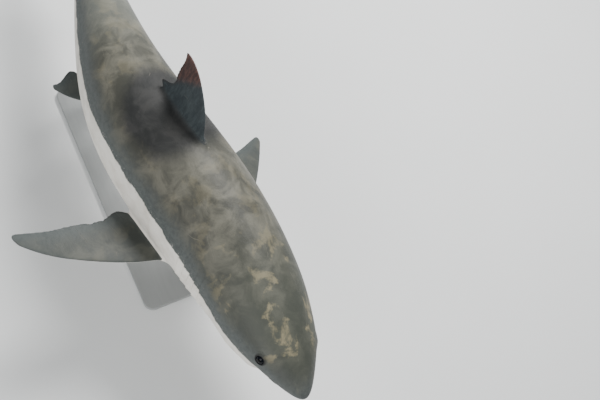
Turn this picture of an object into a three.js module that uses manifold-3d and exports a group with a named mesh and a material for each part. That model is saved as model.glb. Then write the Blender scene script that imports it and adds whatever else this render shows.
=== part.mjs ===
// A life-size great white shark, banked into a gentle left turn on a plain display stand.
// Millimetres. +X points ahead of the shark, +Y to its left and +Z up. The origin is the middle of
// the stand's underside. The shark is first built straight and level, with its snout tip at the
// origin and its tail towards -X; it is then bent along its spine, banked and set on the stand.
import * as THREE from "three";
import { mergeVertices } from "three/addons/utils/BufferGeometryUtils.js";
import Module from "manifold-3d";

const wasm = await Module();
wasm.setup();

// ---------------------------------------------------------------- driving dimensions
const TOTAL_LENGTH = 4000; // snout tip to the tip of the tail's upper lobe
const BANK = THREE.MathUtils.degToRad(20); // left side down, as in a left turn
const SPINE_HEIGHT = 880; // the straight spine line above the floor
const GAP = 1.0; // between neighbouring pieces of the animal
const REST_GAP = 0.5; // between the animal and its stand, and between the stand's pieces
const CLEAR = 30; // per cent of the total length, further above or below the spine than any fin
const SIDE_REACH = 12; // per cent of the total length, wider than any part on the midline
const NUDGE = 0.02; // per cent of the total length, a small step past a cut
const PROBE_RADIUS = 2; // of the thin rod that finds the belly's height over a stand rod

// Everything on the animal is stated in per cent of its total length.
const percent = (share) => (share / 100) * TOTAL_LENGTH;

// How the body swings from side to side: [distance behind the snout, heading in degrees].
const HEADINGS = [
  [0, -1],
  [20, 5],
  [38, 12],
  [60, -6],
  [80, -10],
  [100, -2],
];

// The body's outline: [distance behind the snout, back, belly, half width].
const BODY = [
  [0, 0, 0, 0], // snout tip
  [1.5, 1.65, -1.25, 1.85],
  [4, 3.05, -2.2, 3.4], // nostrils
  [7, 4.5, -3.2, 4.9], // eyes
  [11, 5.9, -4.9, 6.25], // corners of the mouth
  [17, 7.3, -6.9, 7.25], // ahead of the gills
  [25, 8.5, -8.5, 7.9], // roots of the pectoral fins
  [34, 9.2, -9.4, 8.15],
  [43, 8.9, -9.4, 7.95], // first dorsal fin
  [53, 7.6, -8.3, 6.95], // pelvic fins
  [63, 5.6, -6.1, 5.2],
  [72, 3.7, -4.2, 3.6], // second dorsal and anal fins
  [79, 2.45, -2.7, 2.4],
  [84, 2.1, -2.1, 1.75], // tail stalk at its thinnest
  [88.5, 1.4, -1.4, 1.0],
  [91.2, 0.4, -0.4, 0.35], // ends inside the tail fin
];
const BODY_END = 91.2;
const BACK_POWER = 2.0; // superellipse powers of the section above and below its widest level
const BELLY_POWER = 2.25;
const BODY_RINGS = 44;
const RING_CROWDING = 1.45; // gathers the rings towards the snout
const BODY_SIDES = 24;

// The chin drops below the line of the belly behind the front of the lower jaw.
const CHIN = { depth: 1.0, front: 6.2, full: 8.0, fade: 9.5, end: 17 };

// The parted mouth, seen from the side: each lip line runs from the front to the corner.
const MOUTH = {
  front: 5.7,
  corner: 10.9,
  upperFront: -2.95,
  upperCorner: -3.45,
  lowerFront: -3.95,
  lowerCorner: -3.58,
  hinge: 12.6, // foot of the line behind the lower jaw
  hingeGap: 1.6, // share of the gap by which the jaw stands clear at that foot
  below: -8.0,
  arc: 3.4, // radius of the jaw's front, seen from below
  arcTaper: 0.35, // how far that radius shrinks per unit of depth behind the front
};
const TEETH = {
  rooted: 0.24, // share of each tooth that is sunk into its jaw
  firstGap: 0.42, // from the middle of the jaw to the first tooth, in shares of the spacing
  lastGap: 0.6, // from the last tooth to the corner, likewise
  shrink: 0.55, // how much smaller the teeth are at the corner
  shrinkPower: 1.6,
  upper: { perSide: 12, width: 26, height: 34, thickness: 8, inset: 11, down: true },
  lower: { perSide: 11, width: 18, height: 28, thickness: 7, inset: 23, down: false },
};

const EYE = { station: 7.1, level: 1.15, radius: 34, opening: 23 };
const NOSTRIL = { station: 4.2, level: -1.25, length: 36, width: 9, depth: 14, slant: 35 };
const GILLS = {
  count: 5,
  first: 19.7,
  spacing: 1.42,
  top: 2.4,
  bottom: -5.6,
  width: 13,
  depth: 24,
  lean: 1.0, // how far the top of a slit lies behind its foot
  bow: 0.7,
};
const KEEL = { start: 75, peak: 84.5, end: 91.5, reach: 3.15, least: 4, thickness: 22, rim: 7, steps: 10 };

// Lengths of the body, parted across the spine.
const LENGTHS = {
  head: [-1, 18.6],
  gill_region: [18.6, 27.1],
  trunk_front: [27.1, 42],
  trunk_rear: [42, 58],
  tail_base: [58, 73],
  tail_stalk: [73, 86],
};

// Fins. A plan row is [share of the span, leading edge, trailing edge], the edges measured
// towards the tail from the fin's root station.
const FINS = {
  dorsal_fin_first: {
    root: 37,
    span: 9.7,
    thickness: 1.0,
    plan: [
      [-0.2, -0.6, 8.8],
      [0, 0, 9.2],
      [0.09, 0.6, 11.3],
      [0.22, 1.2, 10.1],
      [0.5, 2.7, 9.5],
      [0.8, 5.4, 9.5],
      [0.95, 7.8, 9.85],
      [1, 9.2, 10.1],
    ],
  },
  dorsal_fin_second: {
    root: 71.8,
    span: 1.6,
    thickness: 0.3,
    plan: [
      [-0.5, -0.2, 1.1],
      [0, 0, 1.3],
      [0.25, 0.4, 2.6],
      [0.6, 0.9, 1.9],
      [1, 1.5, 1.95],
    ],
  },
  anal_fin: {
    root: 73.4,
    span: 1.9,
    thickness: 0.3,
    down: true,
    plan: [
      [-0.5, -0.2, 1.2],
      [0, 0, 1.4],
      [0.25, 0.45, 2.7],
      [0.6, 1.05, 2.0],
      [1, 1.75, 2.2],
    ],
  },
  pectoral_fin: {
    root: 27.6,
    level: -5.4,
    out: 5.6,
    span: 18.2,
    thickness: 1.1,
    dihedral: -4,
    droop: 1.3,
    pitch: 5,
    plan: [
      [-0.15, -0.8, 5.9],
      [0, 0, 6.6],
      [0.1, 0.9, 10.2],
      [0.25, 2.1, 10.9],
      [0.5, 4.9, 11.9],
      [0.72, 8.1, 12.9],
      [0.9, 11.4, 14.1],
      [1, 13.7, 14.7],
    ],
  },
  pelvic_fin: {
    root: 55.4,
    level: -5.9,
    out: 3.4,
    span: 4.9,
    thickness: 0.5,
    dihedral: -24,
    droop: 0.4,
    pitch: 0,
    plan: [
      [-0.35, -0.4, 4.2],
      [0, 0, 4.7],
      [0.3, 0.9, 6.5],
      [0.65, 2.3, 5.4],
      [1, 4.3, 4.9],
    ],
  },
  caudal_fin_upper: {
    root: 82.6,
    level: 0,
    span: 16.2,
    thickness: 1.3,
    plan: [
      [0, 0.9, 9.2],
      [0.13, 1.6, 9.3],
      [0.28, 3.9, 9.9],
      [0.5, 7.6, 11.7],
      [0.7, 10.9, 13.8],
      [0.82, 13.0, 15.3],
      [0.88, 14.1, 15.9],
      [0.94, 15.3, 17.0],
      [1, 16.8, 17.4],
    ],
  },
  caudal_fin_lower: {
    root: 82.6,
    level: 0,
    span: 12.6,
    thickness: 1.2,
    down: true,
    plan: [
      [0, 0.9, 9.2],
      [0.16, 1.7, 9.1],
      [0.35, 3.7, 9.3],
      [0.6, 6.5, 10.1],
      [0.85, 9.6, 11.5],
      [1, 11.6, 12.2],
    ],
  },
};
const FIN_SECTIONS = 9;
const FIN_CHORD_STEPS = 5;
const FIN_EDGE = 3; // half thickness of a fin's trailing edge
const FIN_TIP_THINNING = 0.8; // share of its thickness that a fin loses towards its tip
const FIN_THINNING_POWER = 1.3;
const FIN_CROWDING = 1.15; // gathers a fin's sections towards its tip
const TAIL_FIN_REACH = [80, 102]; // stations between which the tail fin's lobes are kept

const STAND = {
  length: 1740,
  width: 800,
  thickness: 32,
  corner: 60,
  bevel: 5,
  rodStations: [31, 65.5],
  rodRadius: 36,
  flangeRadius: 105,
  flangeThickness: 18,
  saddleRadius: 92,
  saddleThickness: 46,
};

// ---------------------------------------------------------------- curves
// A natural cubic spline through (knots, values).
function naturalSpline(knots, values) {
  const last = knots.length - 1;
  const step = knots.slice(1).map((knot, i) => knot - knots[i]);
  const bend = new Array(last + 1).fill(0);
  const share = new Array(last + 1).fill(0);
  for (let i = 1; i < last; i++) {
    const pull = 2 * (knots[i + 1] - knots[i - 1]) - step[i - 1] * share[i - 1];
    const rise = (values[i + 1] - values[i]) / step[i] - (values[i] - values[i - 1]) / step[i - 1];
    share[i] = step[i] / pull;
    bend[i] = (6 * rise - step[i - 1] * bend[i - 1]) / pull;
  }
  for (let i = last - 1; i > 0; i--) bend[i] -= share[i] * bend[i + 1];
  return (x) => {
    let i = 0;
    while (i < last - 1 && x > knots[i + 1]) i++;
    const h = step[i];
    const a = (knots[i + 1] - x) / h;
    const b = (x - knots[i]) / h;
    const bow = ((a ** 3 - a) * bend[i] + (b ** 3 - b) * bend[i + 1]) * (h * h) / 6;
    return a * values[i] + b * values[i + 1] + bow;
  };
}

const column = (rows, i) => rows.map((row) => row[i]);

function smoothStep(low, high, x) {
  const t = THREE.MathUtils.clamp((x - low) / (high - low), 0, 1);
  return t * t * (3 - 2 * t);
}

// The outline is splined over the square root of the distance, so that the snout comes out round.
const rooted = BODY.map((row) => Math.sqrt(row[0]));
const backLine = naturalSpline(rooted, column(BODY, 1));
const bellyLine = naturalSpline(rooted, column(BODY, 2));
const halfWidthLine = naturalSpline(rooted, column(BODY, 3));

// The section at a station, in millimetres: its highest, lowest and widest.
function sectionAt(station) {
  const root = Math.sqrt(Math.max(station, 0));
  const drop = smoothStep(CHIN.front, CHIN.full, station) * (1 - smoothStep(CHIN.fade, CHIN.end, station));
  const top = percent(backLine(root));
  const bottom = percent(bellyLine(root) - CHIN.depth * drop);
  return { top, bottom, middle: (top + bottom) / 2, half: percent(halfWidthLine(root)) };
}

// How far the skin lies from the middle plane at a height z above the straight spine.
function halfWidthAt(station, z) {
  const { top, bottom, middle, half } = sectionAt(station);
  const above = z >= middle;
  const power = above ? BACK_POWER : BELLY_POWER;
  const share = Math.min(1, (z - middle) / ((above ? top : bottom) - middle));
  return half * (1 - share ** power) ** (1 / power);
}

// ---------------------------------------------------------------- solids
function signedVolume(geometry) {
  const p = geometry.attributes.position;
  const index = geometry.index.array;
  const corner = [new THREE.Vector3(), new THREE.Vector3(), new THREE.Vector3()];
  let sum = 0;
  for (let i = 0; i < index.length; i += 3) {
    corner.forEach((v, k) => v.fromBufferAttribute(p, index[i + k]));
    sum += corner[0].dot(corner[1].clone().cross(corner[2]));
  }
  return sum / 6;
}

// A closed geometry as a manifold-3d solid, with its faces turned outwards.
function solidOf(geometry) {
  const bare = geometry.clone();
  Object.keys(bare.attributes).forEach((name) => name !== "position" && bare.deleteAttribute(name));
  const merged = mergeVertices(bare, 1e-3);
  const triVerts = new Uint32Array(merged.index.array);
  if (signedVolume(merged) < 0) triVerts.reverse();
  const vertProperties = new Float32Array(merged.attributes.position.array);
  return new wasm.Manifold(new wasm.Mesh({ numProp: 3, vertProperties, triVerts }));
}

function geometryOf(solid) {
  const { vertProperties, triVerts } = solid.getMesh();
  const geometry = new THREE.BufferGeometry();
  geometry.setAttribute("position", new THREE.BufferAttribute(new Float32Array(vertProperties), 3));
  geometry.setIndex(new THREE.BufferAttribute(new Uint32Array(triVerts), 1));
  return geometry;
}

// A solid through rings of equally many points, closed by a fan at each end.
function loft(rings) {
  const sides = rings[0].length;
  const points = rings.flat();
  const index = [];
  for (let r = 0; r + 1 < rings.length; r++) {
    for (let i = 0; i < sides; i++) {
      const a = r * sides + i;
      const b = r * sides + ((i + 1) % sides);
      index.push(a, b, a + sides, b, b + sides, a + sides);
    }
  }
  for (const r of [0, rings.length - 1]) {
    const hub = points.length;
    const middle = new THREE.Vector3();
    rings[r].forEach((point) => middle.addScaledVector(point, 1 / sides));
    points.push(middle);
    for (let i = 0; i < sides; i++) {
      const a = r * sides + i;
      const b = r * sides + ((i + 1) % sides);
      index.push(...(r === 0 ? [hub, b, a] : [hub, a, b]));
    }
  }
  const geometry = new THREE.BufferGeometry().setFromPoints(points);
  geometry.setIndex(index);
  return solidOf(geometry);
}

// A side-view outline [[station, level], ...] in per cent, made into a slab across the whole body.
function acrossBody(outline) {
  const halfReach = percent(SIDE_REACH);
  const shape = new THREE.Shape(outline.map(([s, z]) => new THREE.Vector2(-percent(s), percent(z))));
  const slab = new THREE.ExtrudeGeometry(shape, { depth: 2 * halfReach, bevelEnabled: false });
  return solidOf(slab.rotateX(Math.PI / 2).translate(0, halfReach, 0));
}

// The whole body without its fins, grown outwards by a number of millimetres.
function bodySolid(grow = 0) {
  const rings = [];
  for (let r = 0; r <= BODY_RINGS; r++) {
    const station = NUDGE + (BODY_END - NUDGE) * (r / BODY_RINGS) ** RING_CROWDING;
    const { top, bottom, middle, half } = sectionAt(station);
    const ring = [];
    for (let i = 0; i < BODY_SIDES; i++) {
      const angle = (2 * Math.PI * (i + 0.5)) / BODY_SIDES;
      const [c, s] = [Math.cos(angle), Math.sin(angle)];
      const power = 2 / (s > 0 ? BACK_POWER : BELLY_POWER);
      const y = (half + grow) * Math.sign(c) * Math.abs(c) ** power;
      const rise = s > 0 ? top - middle + grow : middle - bottom + grow;
      const z = middle + rise * Math.sign(s) * Math.abs(s) ** power;
      ring.push(new THREE.Vector3(-percent(station) + (r === 0 ? grow : 0), y, z));
    }
    rings.push(ring);
  }
  return loft(rings);
}

// Half the thickness of a fin's section at a share u of its chord.
function finHalfThickness(u, thickness) {
  const foil = 1.4845 * Math.sqrt(u) - 0.63 * u - 1.758 * u ** 2 + 1.4215 * u ** 3 - 0.518 * u ** 4;
  return thickness * foil + FIN_EDGE * Math.min(1, Math.sqrt(u * 8));
}

// A fin as a solid, its root sunk into the body. side is 1 on the left, -1 on the right, 0 midline.
function finSolid(fin, side = 0) {
  const lead = naturalSpline(column(fin.plan, 0), column(fin.plan, 1));
  const trail = naturalSpline(column(fin.plan, 0), column(fin.plan, 2));
  const first = fin.plan[0][0];
  const tilt = THREE.MathUtils.degToRad(fin.dihedral ?? 0);
  const pitch = Math.tan(THREE.MathUtils.degToRad(fin.pitch ?? 0));
  const rings = [];
  for (let r = 0; r <= FIN_SECTIONS; r++) {
    const v = first + (1 - first) * Math.sin((Math.PI / 2) * (r / FIN_SECTIONS)) ** FIN_CROWDING;
    const taper = THREE.MathUtils.clamp(v, 0, 1) ** FIN_THINNING_POWER;
    const thin = percent(fin.thickness) * (1 - FIN_TIP_THINNING * taper);
    const ring = [];
    for (let i = 0; i < 2 * FIN_CHORD_STEPS + 1; i++) {
      const k = i <= FIN_CHORD_STEPS ? i : 2 * FIN_CHORD_STEPS + 1 - i;
      const u = (1 - Math.cos((Math.PI * k) / FIN_CHORD_STEPS)) / 2;
      const chord = lead(v) + (trail(v) - lead(v)) * u;
      const off = (i <= FIN_CHORD_STEPS ? 1 : -1) * finHalfThickness(u, thin / 2);
      ring.push(finPoint(fin, side, chord, v, off, tilt, pitch));
    }
    rings.push(ring);
  }
  return loft(rings);
}

// A point of a fin: a chord position and off-plane distance at a share v of its span.
function finPoint(fin, side, chord, v, off, tilt, pitch) {
  const x = -percent(fin.root + chord);
  const reach = percent(fin.span * v);
  if (side === 0) {
    const up = fin.down ? -1 : 1;
    const base = fin.level ?? (fin.down ? sectionAt(fin.root).bottom : sectionAt(fin.root).top) / percent(1);
    const slope = fin.level === undefined ? medianSlope(fin) * percent(chord) : 0;
    return new THREE.Vector3(x, off, percent(base) + slope + up * reach);
  }
  const droop = percent(fin.droop) * Math.max(0, v) ** 2;
  const y = percent(fin.out) + reach * Math.cos(tilt) - off * Math.sin(tilt);
  const rise = reach * Math.sin(tilt) + off * Math.cos(tilt);
  const z = percent(fin.level) + rise - droop - pitch * percent(chord);
  return new THREE.Vector3(x, side * y, z);
}

// How the back or belly line falls along a midline fin's base.
function medianSlope(fin) {
  const line = fin.down ? "bottom" : "top";
  const base = fin.plan[1][2];
  return (sectionAt(fin.root + base)[line] - sectionAt(fin.root)[line]) / percent(base);
}

// The lateral keels of the tail stalk, one flat lens across both sides.
function keelSolid(grow = 0) {
  const rings = [];
  for (let r = 0; r <= KEEL.steps; r++) {
    const station = KEEL.start + ((KEEL.end - KEEL.start) * r) / KEEL.steps;
    const swell = smoothStep(KEEL.start, KEEL.peak, station) * (1 - smoothStep(KEEL.peak, KEEL.end, station));
    const reach = Math.max(KEEL.least, percent(KEEL.reach) * swell) + grow;
    const [x, thick, rim] = [-percent(station), KEEL.thickness / 2 + grow, KEEL.rim / 2 + grow];
    const corners = [[reach, -rim], [reach, rim], [0, thick], [-reach, rim], [-reach, -rim], [0, -thick]];
    rings.push(corners.map(([y, z]) => new THREE.Vector3(x, y, z)));
  }
  return loft(rings);
}

// Points along one lip from the right corner of the mouth to the left, evenly spaced by length.
function lipPoints(lip, count) {
  const [front, corner] = lip.down
    ? [MOUTH.upperFront, MOUTH.upperCorner]
    : [MOUTH.lowerFront, MOUTH.lowerCorner];
  const line = [];
  for (let station = MOUTH.front; station < MOUTH.corner; station += NUDGE) {
    const share = (station - MOUTH.front) / (MOUTH.corner - MOUTH.front);
    const z = percent(front + (corner - front) * share);
    const y = halfWidthAt(station, z);
    if (sectionAt(station).bottom < z - 1) line.push(new THREE.Vector3(-percent(station), y - lip.inset, z));
  }
  line[0].y = 0;
  const curve = new THREE.CatmullRomCurve3(line.filter((point, i) => point.y >= 0 && i % 8 === 0));
  const half = [];
  for (let i = 0; i < count; i++) half.push(curve.getPointAt((i + TEETH.firstGap) / (count + TEETH.lastGap)));
  return half;
}

// One row of teeth on one side: flat triangular blades, smaller towards the corner.
function teethOf(lip) {
  const blades = [];
  lipPoints(lip, lip.perSide).forEach((point, i) => {
    const size = 1 - TEETH.shrink * (i / lip.perSide) ** TEETH.shrinkPower;
    for (const side of [1, -1]) {
      const blade = new THREE.ConeGeometry(0.5, 1, 4, 1).rotateY(Math.PI / 4);
      blade.scale(Math.SQRT2 * lip.thickness, lip.height * size, Math.SQRT2 * lip.width * size);
      blade.rotateX(lip.down ? -Math.PI / 2 : Math.PI / 2);
      blade.rotateZ(side * turnAt(point));
      const middle = (lip.down ? -1 : 1) * lip.height * size * (0.5 - TEETH.rooted);
      blade.translate(point.x, side * point.y, point.z + middle);
      blades.push(solidOf(blade));
    }
  });
  return blades;
}

// How far a tooth at a point of the lip is turned from facing ahead.
function turnAt(point) {
  const depth = -point.x - percent(MOUTH.front);
  return Math.atan2(point.y, percent(MOUTH.arc) - MOUTH.arcTaper * depth);
}

// ---------------------------------------------------------------- the head's openings
// Everything below the upper lip line, down to the line behind the lower jaw.
function mouthCut(clearance = 0) {
  const { front, corner, upperFront, upperCorner, hinge, below } = MOUTH;
  const drop = (clearance / TOTAL_LENGTH) * 100;
  return acrossBody([
    [front, upperFront - drop],
    [corner, upperCorner - drop],
    [hinge, below],
    [front, below],
  ]);
}

// Everything below the lower lip line.
function lowerJawBlock(clearance = 0) {
  const { front, corner, lowerFront, lowerCorner, hinge, below } = MOUTH;
  const back = (GAP / TOTAL_LENGTH) * 100;
  const rise = (clearance / TOTAL_LENGTH) * 100;
  return acrossBody([
    [front, lowerFront + rise],
    [corner - back, lowerCorner + rise],
    [hinge - MOUTH.hingeGap * back, below],
    [front, below],
  ]);
}

function eyeSolid(side, radius) {
  const depth = Math.sqrt(EYE.radius ** 2 - EYE.opening ** 2);
  const z = percent(EYE.level);
  const y = halfWidthAt(EYE.station, z) - depth;
  const ball = new THREE.SphereGeometry(radius, 14, 8).rotateX(Math.PI / 2);
  return solidOf(ball.translate(-percent(EYE.station), side * y, z));
}

function nostrilCut(side) {
  const slot = new THREE.CapsuleGeometry(NOSTRIL.width / 2, NOSTRIL.length - NOSTRIL.width, 3, 8);
  const z = percent(NOSTRIL.level);
  const y = halfWidthAt(NOSTRIL.station, z) - NOSTRIL.depth / 4;
  slot.scale(1, 1, NOSTRIL.depth / NOSTRIL.width);
  slot.rotateZ(Math.PI / 2 - THREE.MathUtils.degToRad(NOSTRIL.slant));
  return solidOf(slot.rotateX(side * Math.PI / 2).translate(-percent(NOSTRIL.station), side * y, z));
}

// The five slits of one side, cut as far in as the body shrunk by their depth.
function gillCuts(side, core) {
  const cuts = [];
  const half = GILLS.width / 2;
  for (let i = 0; i < GILLS.count; i++) {
    const foot = GILLS.first + i * GILLS.spacing;
    const [low, high] = [percent(GILLS.bottom), percent(GILLS.top)];
    const [x0, x1] = [-percent(foot), -percent(foot + GILLS.lean)];
    const bow = (x0 + x1) / 2 + percent(GILLS.bow);
    const leaf = new THREE.Shape();
    leaf.moveTo(x0, low);
    leaf.quadraticCurveTo(bow + 2 * half, (low + high) / 2, x1, high);
    leaf.quadraticCurveTo(bow - 2 * half, (low + high) / 2, x0, low);
    const extrude = { depth: percent(SIDE_REACH), curveSegments: 4, bevelEnabled: false };
    const blade = new THREE.ExtrudeGeometry(leaf, extrude);
    blade.rotateX(Math.PI / 2);
    if (side > 0) blade.translate(0, percent(SIDE_REACH), 0);
    cuts.push(solidOf(blade).subtract(core));
  }
  return cuts;
}

// ---------------------------------------------------------------- the posed spine
const headingAt = naturalSpline(column(HEADINGS, 0), column(HEADINGS, 1));
const SPINE_STEPS = 400;
const spine = [new THREE.Vector2()];
for (let i = 1; i <= SPINE_STEPS; i++) {
  const heading = THREE.MathUtils.degToRad(headingAt(((i - 0.5) / SPINE_STEPS) * 100));
  const step = TOTAL_LENGTH / SPINE_STEPS;
  const ahead = new THREE.Vector2(Math.cos(heading), Math.sin(heading));
  spine.push(spine[i - 1].clone().addScaledVector(ahead, -step));
}

function spineAt(station) {
  const place = (station / 100) * SPINE_STEPS;
  const i = THREE.MathUtils.clamp(Math.floor(place), 0, SPINE_STEPS - 1);
  return spine[i].clone().lerp(spine[i + 1], place - i);
}

// Bends a straight geometry along the spine.
function bent(geometry) {
  const p = geometry.attributes.position;
  for (let i = 0; i < p.count; i++) {
    const station = (-p.getX(i) / TOTAL_LENGTH) * 100;
    const heading = THREE.MathUtils.degToRad(headingAt(THREE.MathUtils.clamp(station, 0, 100)));
    const at = spineAt(station);
    const y = p.getY(i);
    p.setXY(i, at.x - Math.sin(heading) * y, at.y + Math.cos(heading) * y);
  }
  return geometry;
}

// The animal's place on the stand: the point midway between the two rods comes over the origin.
const animal = new THREE.Group();
animal.rotation.x = -BANK;
const footOf = (station) => {
  const at = spineAt(station);
  const middle = sectionAt(station).middle;
  return new THREE.Vector3(at.x, at.y, middle).applyEuler(animal.rotation);
};
const feet = STAND.rodStations.map(footOf);
const between = feet[0].clone().add(feet[1]).multiplyScalar(0.5);
animal.position.set(-between.x, -between.y, SPINE_HEIGHT);
animal.updateMatrixWorld(true);

// ---------------------------------------------------------------- materials and nodes
function paint(color, roughness, metalness = 0) {
  return new THREE.MeshStandardMaterial({ color, roughness, metalness });
}

const skin = paint(0x6f6a60, 0.5);
const finSkin = paint(0x5d5a53, 0.5);
const eyeBlack = paint(0x0b0d10, 0.08);
const board = paint(0x9a9c9a, 0.4);
const rubber = paint(0x121212, 0.8);
const steel = paint(0xb8bbbd, 0.3, 1);

const root = new THREE.Group();
root.add(animal);

function addTo(group, name, geometry, material) {
  geometry.computeVertexNormals();
  const mesh = new THREE.Mesh(geometry, material);
  mesh.name = name;
  group.add(mesh);
}

const addFlesh = (name, solid, material = skin) => addTo(animal, name, bent(geometryOf(solid)), material);

// ---------------------------------------------------------------- the animal
const bareBody = bodySolid();
const cutter = bodySolid(GAP); // shapes the roots of the fins
const core = bodySolid(-GILLS.depth);
const withKeels = bareBody.add(keelSolid());

// A slab of the body between two stations, short of each cut by half the gap.
function lengthBetween(from, to, solid) {
  const trim = (GAP / 2 / TOTAL_LENGTH) * 100;
  const [a, b] = [from + trim, to - trim];
  return solid.intersect(acrossBody([[a, -CLEAR], [b, -CLEAR], [b, CLEAR], [a, CLEAR]]));
}

function buildHead() {
  let head = lengthBetween(...LENGTHS.head, bareBody).subtract(mouthCut());
  for (const side of [1, -1]) {
    head = head.subtract(eyeSolid(side, EYE.radius + GAP)).subtract(nostrilCut(side));
    addFlesh(side > 0 ? "eye_left" : "eye_right", eyeSolid(side, EYE.radius), eyeBlack);
  }
  let jaw = bareBody.intersect(lowerJawBlock());
  const clearOfJaw = lowerJawBlock(REST_GAP);
  const clearOfHead = mouthCut(REST_GAP);
  for (const tooth of teethOf(TEETH.upper)) head = head.add(tooth.subtract(clearOfJaw));
  for (const tooth of teethOf(TEETH.lower)) jaw = jaw.add(tooth.intersect(clearOfHead));
  addFlesh("head", head);
  addFlesh("lower_jaw", jaw);
}

function buildTrunk() {
  let gills = lengthBetween(...LENGTHS.gill_region, bareBody);
  for (const side of [1, -1]) for (const cut of gillCuts(side, core)) gills = gills.subtract(cut);
  addFlesh("gill_region", gills);
  for (const name of ["trunk_front", "trunk_rear", "tail_base", "tail_stalk"]) {
    addFlesh(name, lengthBetween(...LENGTHS[name], withKeels));
  }
}

function buildFins() {
  for (const name of ["dorsal_fin_first", "dorsal_fin_second", "anal_fin"]) {
    addFlesh(name, finSolid(FINS[name]).subtract(cutter), finSkin);
  }
  for (const name of ["pectoral_fin", "pelvic_fin"]) {
    for (const side of [1, -1]) {
      const fin = finSolid(FINS[name], side).subtract(cutter);
      addFlesh(name + (side > 0 ? "_left" : "_right"), fin, finSkin);
    }
  }
}

// The tail fin's two lobes meet along the midline, and each takes its half of the body's end.
function buildTailFin() {
  const end = LENGTHS.tail_stalk[1];
  const stub = lengthBetween(end, 100, withKeels);
  const stalk = lengthBetween(0, end + NUDGE, cutter.add(keelSolid(GAP)));
  for (const [name, sign] of [["caudal_fin_upper", 1], ["caudal_fin_lower", -1]]) {
    const trim = (GAP / 2 / TOTAL_LENGTH) * 100 * sign;
    const [a, b] = TAIL_FIN_REACH;
    const half = acrossBody([[a, trim], [b, trim], [b, CLEAR * sign], [a, CLEAR * sign]]);
    addFlesh(name, finSolid(FINS[name]).add(stub).intersect(half).subtract(stalk), finSkin);
  }
}

buildHead();
buildTrunk();
buildFins();
buildTailFin();

// ---------------------------------------------------------------- the stand
function roundedPlate({ length, width, thickness, corner, bevel }) {
  const [x, y] = [length / 2 - bevel, width / 2 - bevel];
  const plate = new THREE.Shape();
  plate.moveTo(-x + corner, -y);
  plate.lineTo(x - corner, -y);
  plate.absarc(x - corner, -y + corner, corner, -Math.PI / 2, 0, false);
  plate.absarc(x - corner, y - corner, corner, 0, Math.PI / 2, false);
  plate.absarc(-x + corner, y - corner, corner, Math.PI / 2, Math.PI, false);
  plate.absarc(-x + corner, -y + corner, corner, Math.PI, 1.5 * Math.PI, false);
  const extrude = {
    depth: thickness - 2 * bevel,
    bevelEnabled: true,
    bevelSize: bevel,
    bevelThickness: bevel,
    bevelSegments: 1,
    curveSegments: 3,
  };
  return new THREE.ExtrudeGeometry(plate, extrude).translate(0, 0, bevel);
}

// A standing cylinder between two heights at (x, y).
function post(radius, low, high, x, y, sides = 20) {
  const cylinder = new THREE.CylinderGeometry(radius, radius, high - low, sides);
  return cylinder.rotateX(Math.PI / 2).translate(x, y, (low + high) / 2);
}

function buildStand() {
  addTo(root, "stand_base", roundedPlate(STAND), board);
  const posed = solidOf(bent(geometryOf(bodySolid(REST_GAP))).applyMatrix4(animal.matrixWorld));
  ["front", "rear"].forEach((end, i) => {
    const { x, y } = feet[i].clone().sub(between);
    const axis = SPINE_HEIGHT + feet[i].z;
    const flangeTop = STAND.thickness + REST_GAP + STAND.flangeThickness;
    const belly = bellyHeight(posed, x, y, axis);
    const saddleFoot = belly - STAND.saddleThickness;
    const cup = solidOf(post(STAND.saddleRadius, saddleFoot, axis, x, y, 28)).subtract(posed);
    addTo(root, "stand_saddle_" + end, geometryOf(cup), rubber);
    const rod = post(STAND.rodRadius, STAND.thickness + REST_GAP, saddleFoot - REST_GAP, x, y);
    addTo(root, "stand_rod_" + end, rod, steel);
    const hole = solidOf(post(STAND.rodRadius + REST_GAP, 0, 2 * flangeTop, x, y));
    const disc = solidOf(post(STAND.flangeRadius, STAND.thickness + REST_GAP, flangeTop, x, y, 28));
    addTo(root, "stand_flange_" + end, geometryOf(disc.subtract(hole)), steel);
  });
}

// The height of the posed belly straight above (x, y), found with a thin probe.
function bellyHeight(posed, x, y, axis) {
  const probe = solidOf(post(PROBE_RADIUS, 0, axis, x, y, 6)).subtract(posed);
  return new THREE.Box3().setFromBufferAttribute(geometryOf(probe).attributes.position).max.z;
}

buildStand();

export default root;
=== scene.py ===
"""A life-size great white shark on a display stand, in metres.

The shark is worked out straight and level, with its snout tip at the origin and its tail towards -X,
as a field of distances to its skin. The skin is the surface where that field is zero. It is then bent
along the spine, banked and set on the stand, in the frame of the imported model.
"""

import math

import bpy
import numpy as np
from mathutils import Matrix, Vector


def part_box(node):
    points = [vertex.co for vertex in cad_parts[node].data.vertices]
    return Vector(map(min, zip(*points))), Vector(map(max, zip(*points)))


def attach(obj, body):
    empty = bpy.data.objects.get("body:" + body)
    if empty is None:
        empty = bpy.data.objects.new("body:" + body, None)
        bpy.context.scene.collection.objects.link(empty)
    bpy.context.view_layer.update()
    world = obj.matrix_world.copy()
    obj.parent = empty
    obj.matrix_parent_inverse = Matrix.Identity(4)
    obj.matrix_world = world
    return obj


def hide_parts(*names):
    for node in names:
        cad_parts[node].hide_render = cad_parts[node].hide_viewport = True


bl_info = {
    "name": "Great White Shark Model",
    "version": (1, 0, 0),
    "blender": (4, 5, 0),
    "location": "View3D > Sidebar > Shark",
    "description": "Builds the skin, eyes, teeth and stand of a life-size shark round its packed solids",
    "category": "Add Mesh",
}

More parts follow.
